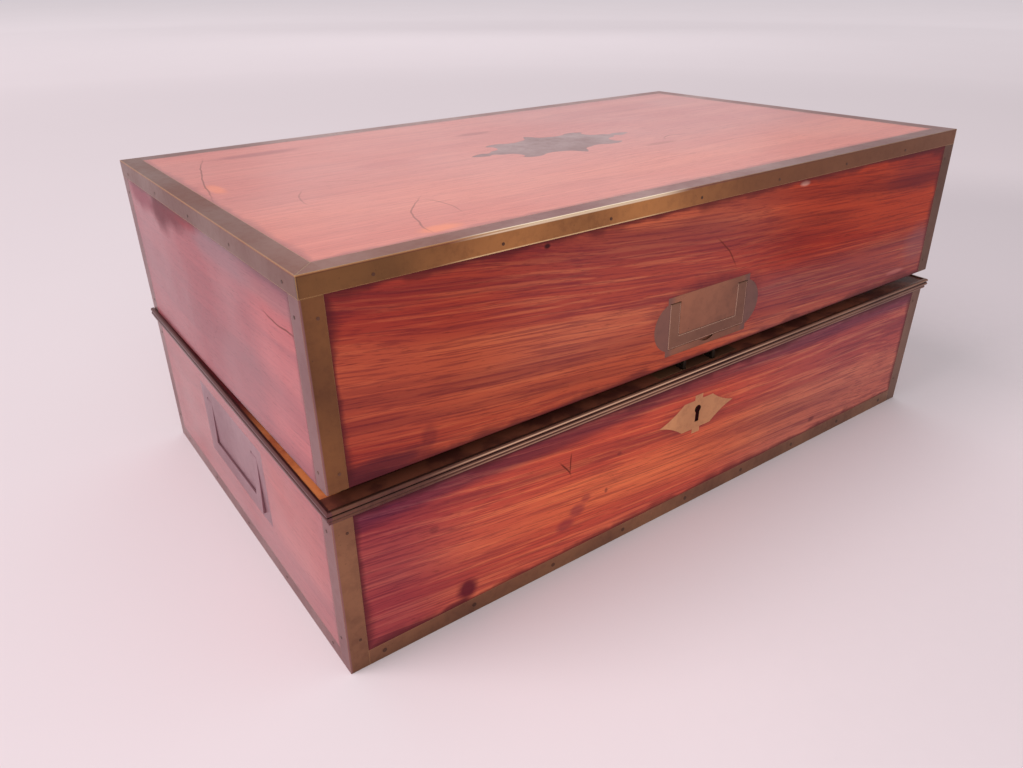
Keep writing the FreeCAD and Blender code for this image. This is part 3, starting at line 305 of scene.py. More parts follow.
def boxMask(tree, place, low, high, soft):
    # 1 inside a box with soft sides; None leaves a side open
    parts = addNode(tree, "ShaderNodeSeparateXYZ")
    tree.links.new(place, parts.inputs[0])
    mask = None
    for axis in range(3):
        for level, outward in ((low[axis], -1), (high[axis], 1)):
            if level is not None:
                ends = sorted([(level, 1.0), (level + outward * max(soft[axis], 1e-5), 0.0)])
                side = between(tree, parts.outputs[axis], ends[0][0], ends[1][0], ends[0][1], ends[1][1])
                mask = side if mask is None else compute(tree, "MULTIPLY", mask, side)
    return mask


def lidClosed(tree, place):
    # the place a point of the lid has while the lid is shut
    back = lidTurn.inverted()
    mapping = addNode(tree, "ShaderNodeMapping")
    tree.links.new(place, mapping.inputs["Vector"])
    mapping.inputs["Rotation"].default_value = back.to_euler()
    mapping.inputs["Location"].default_value = back.to_translation()
    return mapping.outputs[0]


def spotMask(tree, place, center, radii, ragged=0.25):
    # 1 in the middle of a soft spot with a ragged edge; a radius of 0 leaves that axis out
    shift = addNode(tree, "ShaderNodeVectorMath", operation="SUBTRACT")
    tree.links.new(place, shift.inputs[0])
    shift.inputs[1].default_value = center
    scale = addNode(tree, "ShaderNodeVectorMath", operation="MULTIPLY")
    tree.links.new(shift.outputs[0], scale.inputs[0])
    scale.inputs[1].default_value = [1 / radius if radius else 0 for radius in radii]
    length = addNode(tree, "ShaderNodeVectorMath", operation="LENGTH")
    tree.links.new(scale.outputs[0], length.inputs[0])
    sway = compute(tree, "SUBTRACT", noise(tree, place, 90.0, 3.0), 0.5)
    wobble = compute(tree, "MULTIPLY", sway, ragged * 2)
    off = compute(tree, "ADD", length.outputs["Value"], wobble)
    return between(tree, off, 0.35, 1.0, 1.0, 0.0)


def scratchMask(tree, place, flat, center, radius, window, reach, width=0.0005):
    # a thin arc of a circle in the plane of two axes, seen only inside a round window
    shift = addNode(tree, "ShaderNodeVectorMath", operation="SUBTRACT")
    tree.links.new(place, shift.inputs[0])
    shift.inputs[1].default_value = center
    keep = addNode(tree, "ShaderNodeVectorMath", operation="MULTIPLY")
    tree.links.new(shift.outputs[0], keep.inputs[0])
    keep.inputs[1].default_value = flat
    length = addNode(tree, "ShaderNodeVectorMath", operation="LENGTH")
    tree.links.new(keep.outputs[0], length.inputs[0])
    sway = compute(tree, "SUBTRACT", noise(tree, place, 30.0, 2.0), 0.5)
    wobble = compute(tree, "MULTIPLY", sway, 0.008)
    off = compute(tree, "SUBTRACT", compute(tree, "ADD", length.outputs["Value"], wobble), radius)
    line = between(tree, compute(tree, "ABSOLUTE", off), width * 0.4, width * 1.3, 1.0, 0.0)
    seen = spotMask(tree, place, window, [reach * 1.2 if axis else 0 for axis in flat], 0.2)
    return compute(tree, "MULTIPLY", line, seen)


def placeGroup(tree, group, **values):
    node = addNode(tree, "ShaderNodeGroup")
    node.node_tree = group
    for name, value in values.items():
        join(tree, value, node.inputs[name])
    return node


# What a wood can be given. A zone is a box: low corner, high corner, softness of its sides, tint.
# A spot is a middle, radii, colour and strength. A scratch is an arc: the two axes of its plane, its
# circle's middle and radius, the middle and reach of the stretch that shows, and its strength.
woodLooks = {
    "onLid": False,
    "ground": (0.38, 0.048, 0.028),
    "band": (0.62, 0.135, 0.055),
    "streak": (0.13, 0.013, 0.022),
    "figure": 0.5,
    "streaks": 0.40,
    "threads": 0.46,
    "pores": 0.3,
    "specular": 0.06,
    "coat": 0.03,
    "coatRoughness": 0.12,
    "coatIor": 1.5,
    "cloudy": 0.0,
    "grime": 0.8,
    "grimeWidth": 0.0045,
    "grimeColor": (0.075, 0.012, 0.016),
    "slope": 0.0,
    "bow": 0.0,
    "axis": "x",
    "shift": (0, 0, 0),
    "panel": None,
    "spots": (),
    "zones": (),
    "scratches": (),
    "bareAbove": None,
    "bareShade": None,
    # the bare rim as lit: darkened by the lid's painted shadow
    "bareWood": ((0.20, 0.060, 0.034), (0.10, 0.028, 0.020)),
}


def woodMaterial(name, **changes):
    look = dict(woodLooks, **changes)
    material, tree, shader, place = newMaterial(name)
    if look["onLid"]:
        place = lidClosed(tree, place)
    grain = placeGroup(
        tree,
        grainGroup,
        Vector=aligned(tree, place, look["axis"], look["slope"], look["bow"], look["shift"]),
        Ground=look["ground"],
        Band=look["band"],
        Streak=look["streak"],
        Figure=look["figure"],
        Streaks=look["streaks"],
        Threads=look["threads"],
        Pores=look["pores"],
    )
    color = grain.outputs["Color"]
    coat = look["coat"]
    if look["cloudy"]:
        clouds = between(tree, noise(tree, place, 9.0, 3.0), 0.35, 0.65, 1 - look["cloudy"], 1.0)
        coat = compute(tree, "MULTIPLY", clouds, look["coat"])
    for low, high, soft, tint in look["zones"]:
        color = mixColor(tree, boxMask(tree, place, low, high, soft), color, tint, "MULTIPLY")
    for center, radii, spotColor, strength in look["spots"]:
        mask = compute(tree, "MULTIPLY", spotMask(tree, place, center, radii), strength)
        color = mixColor(tree, mask, color, spotColor)
        coat = compute(tree, "MULTIPLY", compute(tree, "SUBTRACT", 1.0, mask), coat)
    for flat, center, radius, window, reach, strength in look["scratches"]:
        mask = scratchMask(tree, place, flat, center, radius, window, reach)
        mask = compute(tree, "MULTIPLY", mask, strength)
        color = mixColor(tree, mask, color, (0.14, 0.022, 0.014))
        coat = compute(tree, "MULTIPLY", compute(tree, "SUBTRACT", 1.0, mask), coat)
    if look["panel"]:
        low, high = look["panel"]
        # dirt and painted shade along the borders of the panel
        grime = placeGroup(tree, borderGroup, Vector=place, Width=look["grimeWidth"])
        grime.inputs["Low"].default_value = low
        grime.inputs["High"].default_value = high
        mask = compute(tree, "MULTIPLY", grime.outputs["Mask"], look["grime"])
        color = mixColor(tree, mask, color, look["grimeColor"])
    if look["bareAbove"]:
        parts = addNode(tree, "ShaderNodeSeparateXYZ")
        tree.links.new(place, parts.inputs[0])
        bare = compute(tree, "GREATER_THAN", parts.outputs["Z"], look["bareAbove"])
        rubbed = between(tree, noise(tree, place, 55.0, 3.0), 0.42, 0.62)
        # the bare rim's colour, with the light and the lid's shadow painted into it
        rimAsLit = mixColor(tree, rubbed, *look["bareWood"])
        if look["bareShade"]:
            low, high, soft, shade = look["bareShade"]
            rimAsLit = mixColor(tree, boxMask(tree, place, low, high, soft), rimAsLit, shade)
        color = mixColor(tree, bare, color, rimAsLit)
        coat = compute(tree, "MULTIPLY", compute(tree, "SUBTRACT", 1.0, bare), coat)
    join(tree, color, shader.inputs["Base Color"])
    join(tree, grain.outputs["Roughness"], shader.inputs["Roughness"])
    join(tree, coat, shader.inputs["Coat Weight"])
    shader.inputs["Specular IOR Level"].default_value = look["specular"]
    shader.inputs["Coat Roughness"].default_value = look["coatRoughness"]
    shader.inputs["Coat IOR"].default_value = look["coatIor"]
    addBump(tree, shader, grain.outputs["Height"], 0.22, 0.0002, 0.0006)
    return material


# Brass. A zone is a box with soft sides as on wood, then its colour and strength.
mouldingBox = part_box("rim_moulding")
reedHollows = [
    (mouldingBox[1][2] - 0.0026, 0.0007),
    (mouldingBox[1][2] - 0.0052, 0.0007),
    (mouldingBox[0][2], 0.0010),
]
# levels and strengths of the painted highlights on the reeds' crests
reedHighlights = [
    (mouldingBox[1][2] - 0.0010, 0.9),
    (mouldingBox[1][2] - 0.0039, 0.6),
    (mouldingBox[1][2] - 0.0066, 0.45),
]
brassLooks = {
    "bright": (0.46, 0.30, 0.155),
    "tarnish": (0.17, 0.095, 0.06),
    "amount": 0.75,
    "edge": 0.0007,
    # colour, strength and reach of the arrises, which are worn and also carry a painted highlight
    "worn": (0.80, 0.47, 0.20),
    "shine": 0.3,
    "wearAndHighlightReach": 0.0007,
    "specular": 0.5,
    "metallic": 0.88,
    "onLid": False,
    "reeds": False,
    "zones": (),
}


def brassMaterial(name, **changes):
    look = dict(brassLooks, **changes)
    material, tree, shader, place = newMaterial(name)
    if look["onLid"]:
        place = lidClosed(tree, place)
    brass = placeGroup(
        tree, brassGroup, Vector=place, Bright=look["bright"], Tarnish=look["tarnish"], Amount=look["amount"]
    )
    color = brass.outputs["Color"]
    for low, high, soft, zoneColor, strength in look["zones"]:
        mask = compute(tree, "MULTIPLY", boxMask(tree, place, low, high, soft), strength)
        color = mixColor(tree, mask, color, zoneColor)
    # worn arrises, with a painted highlight along them
    if look["edge"]:
        worn = compute(tree, "MULTIPLY", edgeMask(tree, look["wearAndHighlightReach"]), look["shine"])
        color = mixColor(tree, worn, color, look["worn"])
    if look["reeds"]:
        # dirt and painted shade lie in the two hollows between the reeds and under the lowest one
        parts = addNode(tree, "ShaderNodeSeparateXYZ")
        tree.links.new(place, parts.inputs[0])
        for level, reach in reedHollows:
            off = compute(tree, "ABSOLUTE", compute(tree, "SUBTRACT", parts.outputs["Z"], level))
            color = mixColor(tree, between(tree, off, 0.0, reach, 0.92, 0.0), color, (0.02, 0.008, 0.009))
        # painted highlights along the reeds' crests, on the front only, strongest over the left half
        front = compute(tree, "LESS_THAN", parts.outputs["Y"], frontY)
        shine = compute(tree, "MULTIPLY", front, between(tree, parts.outputs["X"], -0.21, -0.15))
        shine = compute(tree, "MULTIPLY", shine, between(tree, parts.outputs["X"], -0.02, 0.12, 1.0, 0.25))
        for level, strength in reedHighlights:
            off = compute(tree, "ABSOLUTE", compute(tree, "SUBTRACT", parts.outputs["Z"], level))
            crestHighlight = compute(tree, "MULTIPLY", between(tree, off, 0.0, 0.0006, strength, 0.0), shine)
            color = mixColor(tree, crestHighlight, color, (0.95, 0.62, 0.40))
    join(tree, color, shader.inputs["Base Color"])
    join(tree, brass.outputs["Roughness"], shader.inputs["Roughness"])
    shader.inputs["Metallic"].default_value = look["metallic"]
    shader.inputs["Specular IOR Level"].default_value = look["specular"]
    addBump(tree, shader, brass.outputs["Height"], 0.25, 0.00008, look["edge"])
    return material


def leatherMaterial(name, base, worn, tooling=None):
    material, tree, shader, place = newMaterial(name)
    pebbles = addNode(tree, "ShaderNodeTexVoronoi")
    pebbles.inputs["Scale"].default_value = 900.0
    tree.links.new(place, pebbles.inputs["Vector"])
    rubbed = noise(tree, place, 11.0, 4.0)
    color = mixColor(tree, between(tree, rubbed, 0.4, 0.7), base, worn)
    if tooling:
        low, high, inset, width = tooling
        parts = addNode(tree, "ShaderNodeSeparateXYZ")
        tree.links.new(place, parts.inputs[0])
        near = None
        for axis in (0, 1):
            for gap in (
                compute(tree, "SUBTRACT", parts.outputs[axis], low[axis]),
                compute(tree, "SUBTRACT", high[axis], parts.outputs[axis]),
            ):
                near = gap if near is None else compute(tree, "MINIMUM", near, gap)
        for distance, lineWidth in ((inset, width), (inset + 3.2 * width, width * 0.4)):
            off = compute(tree, "ABSOLUTE", compute(tree, "SUBTRACT", near, distance))
            line = compute(tree, "LESS_THAN", off, lineWidth / 2)
            color = mixColor(tree, compute(tree, "MULTIPLY", line, 0.8), color, (0.55, 0.38, 0.14))
    join(tree, color, shader.inputs["Base Color"])
    join(tree, between(tree, rubbed, 0.3, 0.7, 0.48, 0.62), shader.inputs["Roughness"])
    addBump(tree, shader, pebbles.outputs["Distance"], 0.4, 0.0002)
    return material


# Each board has its own run of the grain, and its own panel of visible wood between the brass.

strap = 0.011  # the brass covers this much of each panel's ends
footTop = 0.010
farAway = 10.0
lidPanelLow = (-endX + strap, -farAway, rimZ)
lidPanelHigh = (endX - strap, farAway, closedTop - 0.0103)
basePanelLow = (-endX + strap, -farAway, footTop)
basePanelHigh = (endX - strap, farAway, rimZ - 0.0075)

darkHalo = (0.12, 0.022, 0.030)
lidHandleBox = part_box("lid_handle_plate")
lidHandleMiddle = [(low + high) / 2 for low, high in zip(*lidHandleBox)]
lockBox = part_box("key_escutcheon")
lockMiddle = [(low + high) / 2 for low, high in zip(*lockBox)]
onTop = (1, 1, 0)
onFront = (1, 0, 1)
onEnd = (0, 1, 1)

woods = {
    "lid_front_board": woodMaterial(
        "mahogany_lid_front",
        onLid=True,
        slope=-0.085,
        bow=0.10,
        shift=(0.2, 0.1, 0.35),
        panel=(lidPanelLow, lidPanelHigh),
        zones=(
            ((None, None, None), (-0.22, None, None), (0.06, 0, 0), (0.96, 0.92, 1.05)),
            # painted reflection: a paler, pinker haze
            ((-0.10, None, 0.145), (0.03, None, 0.180), (0.09, 0, 0.03), (1.12, 1.45, 1.7)),
            ((0.09, None, 0.155), (None, None, None), (0.10, 0, 0.03), (0.92, 0.55, 0.45)),
            # painted reflection: a paler, pinker haze over the lower right
            ((0.07, None, None), (None, None, 0.132), (0.08, 0, 0.022), (0.98, 1.5, 1.9)),
        ),
        spots=(
            (lidHandleMiddle, (0.056, 0, 0.022), darkHalo, 0.75),
            ((0.215, 0, 0.188), (0.060, 0, 0.022), (0.10, 0.012, 0.024), 0.45),
            ((0.228, 0, 0.130), (0.024, 0, 0.020), (0.26, 0.095, 0.105), 0.45),
            ((-0.225, 0, 0.110), (0.040, 0, 0.008), (0.05, 0.010, 0.022), 0.7),
            ((-0.195, 0, 0.117), (0.006, 0, 0.008), (0.10, 0.014, 0.024), 0.4),
            ((-0.123, 0, 0.197), (0.0025, 0, 0.0018), (0.03, 0.008, 0.010), 0.9),
            ((0.078, 0, 0.197), (0.006, 0, 0.0025), (0.75, 0.42, 0.34), 0.6),
            ((0.205, 0, 0.113), (0.014, 0, 0.0025), (0.62, 0.22, 0.20), 0.35),
        ),
        scratches=((onFront, (-0.045, 0, 0.115), 0.078, (0.012, 0, 0.168), 0.016, 0.75),),
    ),
    "base_front_board": woodMaterial(
        "mahogany_base_front",
        slope=-0.070,
        bow=0.12,
        shift=(0.7, 0.3, 0.05),
        ground=(0.53, 0.078, 0.054),
        band=(0.84, 0.215, 0.098),
        streak=(0.19, 0.026, 0.036),
        panel=(basePanelLow, basePanelHigh),
        zones=(
            ((None, None, None), (-0.225, None, None), (0.065, 0, 0), (0.62, 0.55, 0.95)),
            ((-0.10, None, 0.035), (0.06, None, 0.080), (0.10, 0, 0.03), (1.12, 1.10, 0.90)),
            ((0.10, None, None), (None, None, None), (0.10, 0, 0), (0.78, 0.98, 1.30)),
            # painted shade under the moulding
            ((None, None, 0.091), (None, None, None), (0, 0, 0.007), (0.50, 0.55, 0.90)),
            # painted shade: black inside the keyhole
            ((-0.008, frontY + 0.0008, 0.060), (0.008, None, 0.085), (0, 0.0004, 0), (0.04, 0.04, 0.04)),
        ),
        spots=(
            (lockMiddle, (0.042, 0, 0.016), darkHalo, 0.55),
            ((-0.177, 0, 0.019), (0.0085, 0, 0.010), (0.13, 0.014, 0.024), 0.95),
            ((-0.186, 0, 0.011), (0.014, 0, 0.004), (0.13, 0.014, 0.024), 0.7),
            ((-0.108, 0, 0.031), (0.010, 0, 0.006), (0.26, 0.035, 0.045), 0.65),
            ((-0.099, 0, 0.038), (0.008, 0, 0.006), (0.26, 0.035, 0.045), 0.6),
            ((-0.092, 0, 0.044), (0.005, 0, 0.004), (0.26, 0.035, 0.045), 0.5),
            ((-0.067, 0, 0.066), (0.0025, 0, 0.002), darkHalo, 0.4),
            ((-0.076, 0, 0.043), (0.0018, 0, 0.0025), darkHalo, 0.6),
            ((0.132, 0, 0.020), (0.005, 0, 0.003), darkHalo, 0.6),
            ((-0.196, 0, 0.069), (0.004, 0, 0.004), darkHalo, 0.35),
        ),
        scratches=(
            (onFront, (-0.148, 0, 0.050), 0.045, (-0.1085, 0, 0.072), 0.0075, 0.9),
            (onFront, (-0.060, 0, 0.076), 0.045, (-0.1050, 0, 0.074), 0.0070, 0.9),
        ),
        bareAbove=rimZ - 0.00003,
    ),
    "lid_top_board": woodMaterial(
        "mahogany_lid_top",
        onLid=True,
        shift=(0.4, 0.2, 0.7),
        # paler and pinker than the front: sun-faded wood, with painted reflection
        ground=(0.56, 0.150, 0.125),
        band=(0.66, 0.215, 0.165),
        streak=(0.40, 0.090, 0.085),
        figure=0.4,
        streaks=0.22,
        threads=0.4,
        pores=0.25,
        specular=0.25,
        coat=0.3,
        coatIor=1.5,
        coatRoughness=0.28,
        cloudy=0.4,
        grime=0.5,
        grimeWidth=0.0045,
        grimeColor=(0.20, 0.04, 0.05),
        panel=((-endX + 0.012, frontY + 0.012, -farAway), (endX - 0.012, backY - 0.012, farAway)),
        zones=(
            ((None, None, None), (None, -0.095, None), (0, 0.09, 0), (1.06, 1.02, 0.92)),
            ((0.12, -0.02, None), (None, None, None), (0.20, 0.10, 0), (0.88, 0.88, 0.97)),
        ),
        spots=(
            ((-0.173, 0.104, 0), (0.040, 0.009, 0), (0.36, 0.10, 0.10), 0.8),
            ((-0.120, 0.020, 0), (0.030, 0.012, 0), (0.46, 0.13, 0.13), 0.35),
            ((-0.060, -0.100, 0), (0.030, 0.008, 0), (0.46, 0.13, 0.12), 0.3),
            ((0.120, 0.060, 0), (0.030, 0.008, 0), (0.44, 0.13, 0.13), 0.35),
            ((-0.019, 0.071, 0), (0.022, 0.007, 0), (0.34, 0.10, 0.10), 0.7),
            ((0.057, -0.046, 0), (0.018, 0.005, 0), (0.36, 0.11, 0.10), 0.55),
            ((-0.170, -0.127, 0), (0.016, 0.007, 0), (0.80, 0.24, 0.11), 0.7),
            ((-0.227, 0.020, 0), (0.006, 0.018, 0), (0.80, 0.24, 0.12), 0.6),
        ),
        scratches=(
            (onTop, (0.8155, -0.2245, 0), 1.076, (-0.2225, 0.052, 0), 0.062, 0.7),
            (onTop, (-0.0615, -0.1462, 0), 0.116, (-0.164, -0.100, 0), 0.036, 0.6),
            (onTop, (-0.20, -0.095, 0), 0.057, (-0.143, -0.092, 0), 0.018, 0.45),
            (onTop, (-0.160, -0.040, 0), 0.040, (-0.196, -0.030, 0), 0.018, 0.4),
            (onTop, (-0.190, -0.050, 0), 0.050, (-0.165, -0.006, 0), 0.016, 0.4),
            (onTop, (0.083, -0.05, 0), 0.020, (0.083, -0.031, 0), 0.016, 0.6),
        ),
    ),
    "lid_left_board": woodMaterial(
        "mahogany_lid_end",
        onLid=True,
        axis="y",
        shift=(0.1, 0.5, 0.2),
        # ground, band and streak: the wood with a mauve haze of painted reflection
        ground=(0.31, 0.044, 0.063),
        band=(0.40, 0.075, 0.086),
        streak=(0.18, 0.024, 0.042),
        streaks=0.3,
        figure=0.4,
        threads=0.2,
        specular=0.08,
        coat=0.68,
        coatIor=1.5,
        coatRoughness=0.18,
        cloudy=0.5,
        panel=((-farAway, frontY + strap, rimZ), (farAway, backY - strap, closedTop - 0.0103)),
        grime=0.5,
        grimeWidth=0.003,
        zones=(
            # painted reflection: paler, pinker haze towards the front
            ((None, -0.132, 0.120), (None, -0.104, 0.186), (0, 0.035, 0.012), (1.35, 1.6, 1.35)),
            ((None, None, 0.190), (None, -0.02, None), (0, 0.03, 0.008), (0.80, 1.2, 1.2)),
        ),
        spots=(
            # deep red under the top strap towards the back, where the painted reflection stops
            ((0, 0.064, 0.196), (0, 0.028, 0.020), (0.13, 0.006, 0.016), 0.97),
            ((0, 0.036, 0.199), (0, 0.036, 0.015), (0.15, 0.008, 0.018), 0.97),
            ((0, 0.010, 0.2010), (0, 0.038, 0.009), (0.24, 0.012, 0.022), 0.9),
            ((0, 0.108, 0.197), (0, 0.036, 0.016), (0.20, 0.022, 0.046), 0.75),
        ),
        scratches=((onEnd, (0, -0.118, 0.30), 0.1208, (0, -0.120, 0.179), 0.020, 0.8),),
    ),
    "base_left_board": woodMaterial(
        "mahogany_base_end",
        axis="y",
        shift=(0.9, 0.1, 0.6),
        # ground, band and streak: the wood with a mauve haze of painted reflection
        ground=(0.34, 0.060, 0.072),
        band=(0.43, 0.095, 0.096),
        streak=(0.20, 0.034, 0.046),
        streaks=0.25,
        figure=0.35,
        threads=0.2,
        specular=0.25,
        coat=0.62,
        coatIor=1.5,
        coatRoughness=0.2,
        cloudy=0.5,
        # the rim at the left end painted as lit; bareShade paints the lid's shadow on it towards the back
        bareWood=((0.66, 0.21, 0.070), (0.40, 0.10, 0.040)),
        bareShade=((None, -0.02, None), (None, None, None), (0, 0.07, 0), (0.10, 0.014, 0.016)),
        panel=((-farAway, frontY + strap, footTop), (farAway, backY - strap, rimZ - 0.0075)),
        grime=0.3,
        grimeWidth=0.003,
        zones=(
            # painted reflection: a paler haze near the front
            ((None, -0.115, 0.045), (None, -0.075, 0.080), (0, 0.035, 0.02), (1.25, 1.4, 1.2)),
        ),
        bareAbove=rimZ - 0.00003,
    ),
}
bareRim = rimZ - 0.00003
plainEnd = woodMaterial("mahogany_ends", axis="y", shift=(0.5, 0.8, 0.3))
plainLong = woodMaterial("mahogany_long", axis="x", shift=(0.3, 0.9, 0.8))
rimEnd = woodMaterial("mahogany_right_end", axis="y", shift=(0.5, 0.8, 0.3), bareAbove=bareRim)
rimLong = woodMaterial("mahogany_back", axis="x", shift=(0.3, 0.9, 0.8), bareAbove=bareRim)
insideEnd = woodMaterial(
    "inside_mahogany_ends", axis="y", coatRoughness=0.3, ground=(0.30, 0.085, 0.04), streaks=0.3
)
insideLong = woodMaterial(
    "inside_mahogany_long", axis="x", coatRoughness=0.3, ground=(0.30, 0.085, 0.04), streaks=0.3
)

# Tarnish lies thicker and greyer on the top of the lid and on the left end, and these faces carry painted
# reflection as well.
faceDepth = 0.0006
onEndFace = ((None, None, None), (-endX + faceDepth, None, None), (faceDepth, 0, 0))
onLidTop = ((None, None, closedTop - faceDepth), (None, None, None), (0, 0, faceDepth))
dullEndWithReflection = onEndFace + ((0.28, 0.135, 0.140), 0.85)
dullTopWithReflection = onLidTop + ((0.24, 0.086, 0.090), 0.85)
topLeg = 0.0122  # just past the straps' width on the top
dullTopFront = (
    onLidTop[0],
    (-0.19, frontY + topLeg, None),
    (0.07, 0.0004, faceDepth),
    (0.22, 0.062, 0.030),
    0.8,
)
dullTopEnd = (
    onLidTop[0],
    (-endX + topLeg, None, None),
    (0.0004, 0, faceDepth),
    (0.21, 0.052, 0.022),
    0.85,
)
dullRight = ((0.2, None, None), (None, None, None), (0.01, 0, 0), (0.12, 0.062, 0.048), 0.55)
brassLidCorners = brassMaterial(
    "brass_lid_corners",
    onLid=True,
    bright=(0.235, 0.100, 0.040),
    tarnish=(0.105, 0.042, 0.024),
    zones=(dullEndWithReflection, dullRight),
)
brassBaseCorners = brassMaterial(
    "brass_base_corners",
    bright=(0.34, 0.165, 0.085),
    tarnish=(0.14, 0.060, 0.038),
    zones=(dullEndWithReflection, dullRight),
)
anywhere = (None, None, None)
arris = closedTop - 0.0005
topZones = (
    onEndFace + ((0.19, 0.082, 0.068), 0.9),
    dullTopWithReflection,
    dullTopFront,
    dullTopEnd,
    # dark towards both ends of the front
    (anywhere, (-0.215, frontY + faceDepth, None), (0.05, faceDepth, 0), (0.10, 0.050, 0.024), 0.7),
    (
        (0.06, None, None),
        (None, frontY + faceDepth, None),
        (0.12, faceDepth, 0),
        (0.16, 0.058, 0.030),
        0.8,
    ),
    # bright where the front's lower and upper edges catch the light
    (
        (-0.16, None, None),
        (-0.06, frontY + 0.001, 0.1999),
        (0.03, 0.001, 0.0006),
        (1.0, 0.72, 0.38),
        0.95,
    ),
    (
        (-0.15, None, closedTop - 0.0010),
        (-0.05, frontY + 0.001, None),
        (0.03, 0.001, 0.0005),
        (1.0, 0.80, 0.55),
        0.9,
    ),
    # painted highlight along the arrises
    (
        (None, None, arris),
        (-endX + 0.0005, None, None),
        (0.0002, 0, 0.0002),
        (0.45, 0.19, 0.09),
        0.7,
    ),
    (
        (None, None, arris),
        (-0.15, frontY + 0.0005, None),
        (0.02, 0.0002, 0.0002),
        (0.52, 0.24, 0.11),
        0.7,
    ),
)
brassTop = brassMaterial(
    "brass_top_straps",
    onLid=True,
    bright=(0.54, 0.235, 0.080),
    tarnish=(0.20, 0.080, 0.036),
    amount=0.6,
    shine=0.6,
    zones=topZones,
)
brassFoot = brassMaterial(
    "brass_foot_straps", bright=(0.34, 0.165, 0.085), tarnish=(0.16, 0.068, 0.045), zones=(dullEndWithReflection,)
)
brass = brassMaterial("brass_fittings")
handleLook = {
    "bright": (0.38, 0.155, 0.088),
    "tarnish": (0.17, 0.075, 0.052),
    "amount": 0.7,
    "edge": 0.0005,
    "shine": 0.45,
    "worn": (0.52, 0.28, 0.18),
}
brassHandles = brassMaterial("brass_handles", **handleLook)
greyEnds = (
    ((None, None, None), (-0.034, None, None), (0.006, 0, 0), (0.17, 0.092, 0.088), 0.6),
    ((0.034, None, None), (None, None, None), (0.006, 0, 0), (0.17, 0.092, 0.088), 0.6),
)
plateLook = dict(handleLook, shine=0.0)
brassLidHandle = brassMaterial("brass_lid_handle", onLid=True, zones=greyEnds, **plateLook)
# the bail's arrises: worn, with a strong painted highlight
bailLook = dict(handleLook, bright=(0.27, 0.13, 0.082), wearAndHighlightReach=0.0008, shine=1.0, worn=(0.95, 0.60, 0.44))
brassLidBail = brassMaterial("brass_lid_bail", onLid=True, **bailLook)
# mauve-grey like the end board: painted reflection
brassEndHandle = brassMaterial(
    "brass_end_handles",
    **dict(handleLook, bright=(0.40, 0.225, 0.255), tarnish=(0.32, 0.175, 0.20), worn=(0.42, 0.24, 0.27)),
)
# painted shade: black on the walls inside the keyhole
inTheKeyhole = ((-0.004, frontY + 0.0005, 0.060), (0.004, None, 0.085), (0.0005, 0.0003, 0))
brassKeyhole = brassMaterial(
    "brass_escutcheon",
    bright=(0.82, 0.42, 0.19),
    tarnish=(0.46, 0.21, 0.105),
    edge=0.0,
    zones=(inTheKeyhole + ((0.02, 0.01, 0.01), 1.0),),
)
brassInlay = brassMaterial(
    "brass_cartouche", bright=(0.40, 0.23, 0.23), tarnish=(0.28, 0.155, 0.15), edge=0.0
)
brassLock = brassMaterial(
    "brass_lock",
    bright=(0.26, 0.115, 0.055),
    tarnish=(0.12, 0.050, 0.030),
    amount=0.9,
    metallic=0.35,
    specular=0.2,
    # painted shade: black where the lock shows through the keyhole
    zones=(((-0.006, None, 0.060), (0.006, None, 0.085), (0.001, 0, 0.001), (0.01, 0.006, 0.005), 1.0),),
)
brassLink = brassMaterial(
    "brass_link_plate",
    bright=(0.05, 0.032, 0.022),
    tarnish=(0.022, 0.014, 0.011),
    metallic=0.2,
    shine=0.0,
    specular=0.05,
)
brassMoulding = brassMaterial(
    "brass_moulding",
    bright=(0.24, 0.105, 0.065),
    tarnish=(0.10, 0.040, 0.034),
    amount=0.8,
    edge=0.0,
    reeds=True,
    zones=(((None, None, None), (-endX, None, None), (0.0004, 0, 0), (0.15, 0.055, 0.060), 0.8),),
)
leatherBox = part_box("flap_leather")
writingLeather = leatherMaterial(
    "writing_leather",
    (0.030, 0.055, 0.036),
    (0.075, 0.085, 0.050),
    (leatherBox[0], leatherBox[1], 0.009, 0.0014),
)
liningLeather = leatherMaterial("lining_leather", (0.060, 0.022, 0.018), (0.10, 0.045, 0.032))


def glassMaterial():
    material, tree, shader, place = newMaterial("bottle_glass")
    cloudy = noise(tree, place, 60.0, 3.0)
    color = mixColor(tree, between(tree, cloudy, 0.3, 0.8), (0.86, 0.93, 0.91), (0.74, 0.84, 0.82))
    join(tree, color, shader.inputs["Base Color"])
    join(tree, between(tree, cloudy, 0.3, 0.8, 0.02, 0.07), shader.inputs["Roughness"])
    shader.inputs["Transmission Weight"].default_value = 1.0
    shader.inputs["IOR"].default_value = 1.5
    ripples = noise(tree, place, 120.0, 2.0)
    addBump(tree, shader, ripples, 0.15, 0.0002)
    return material


bottleGlass = glassMaterial()

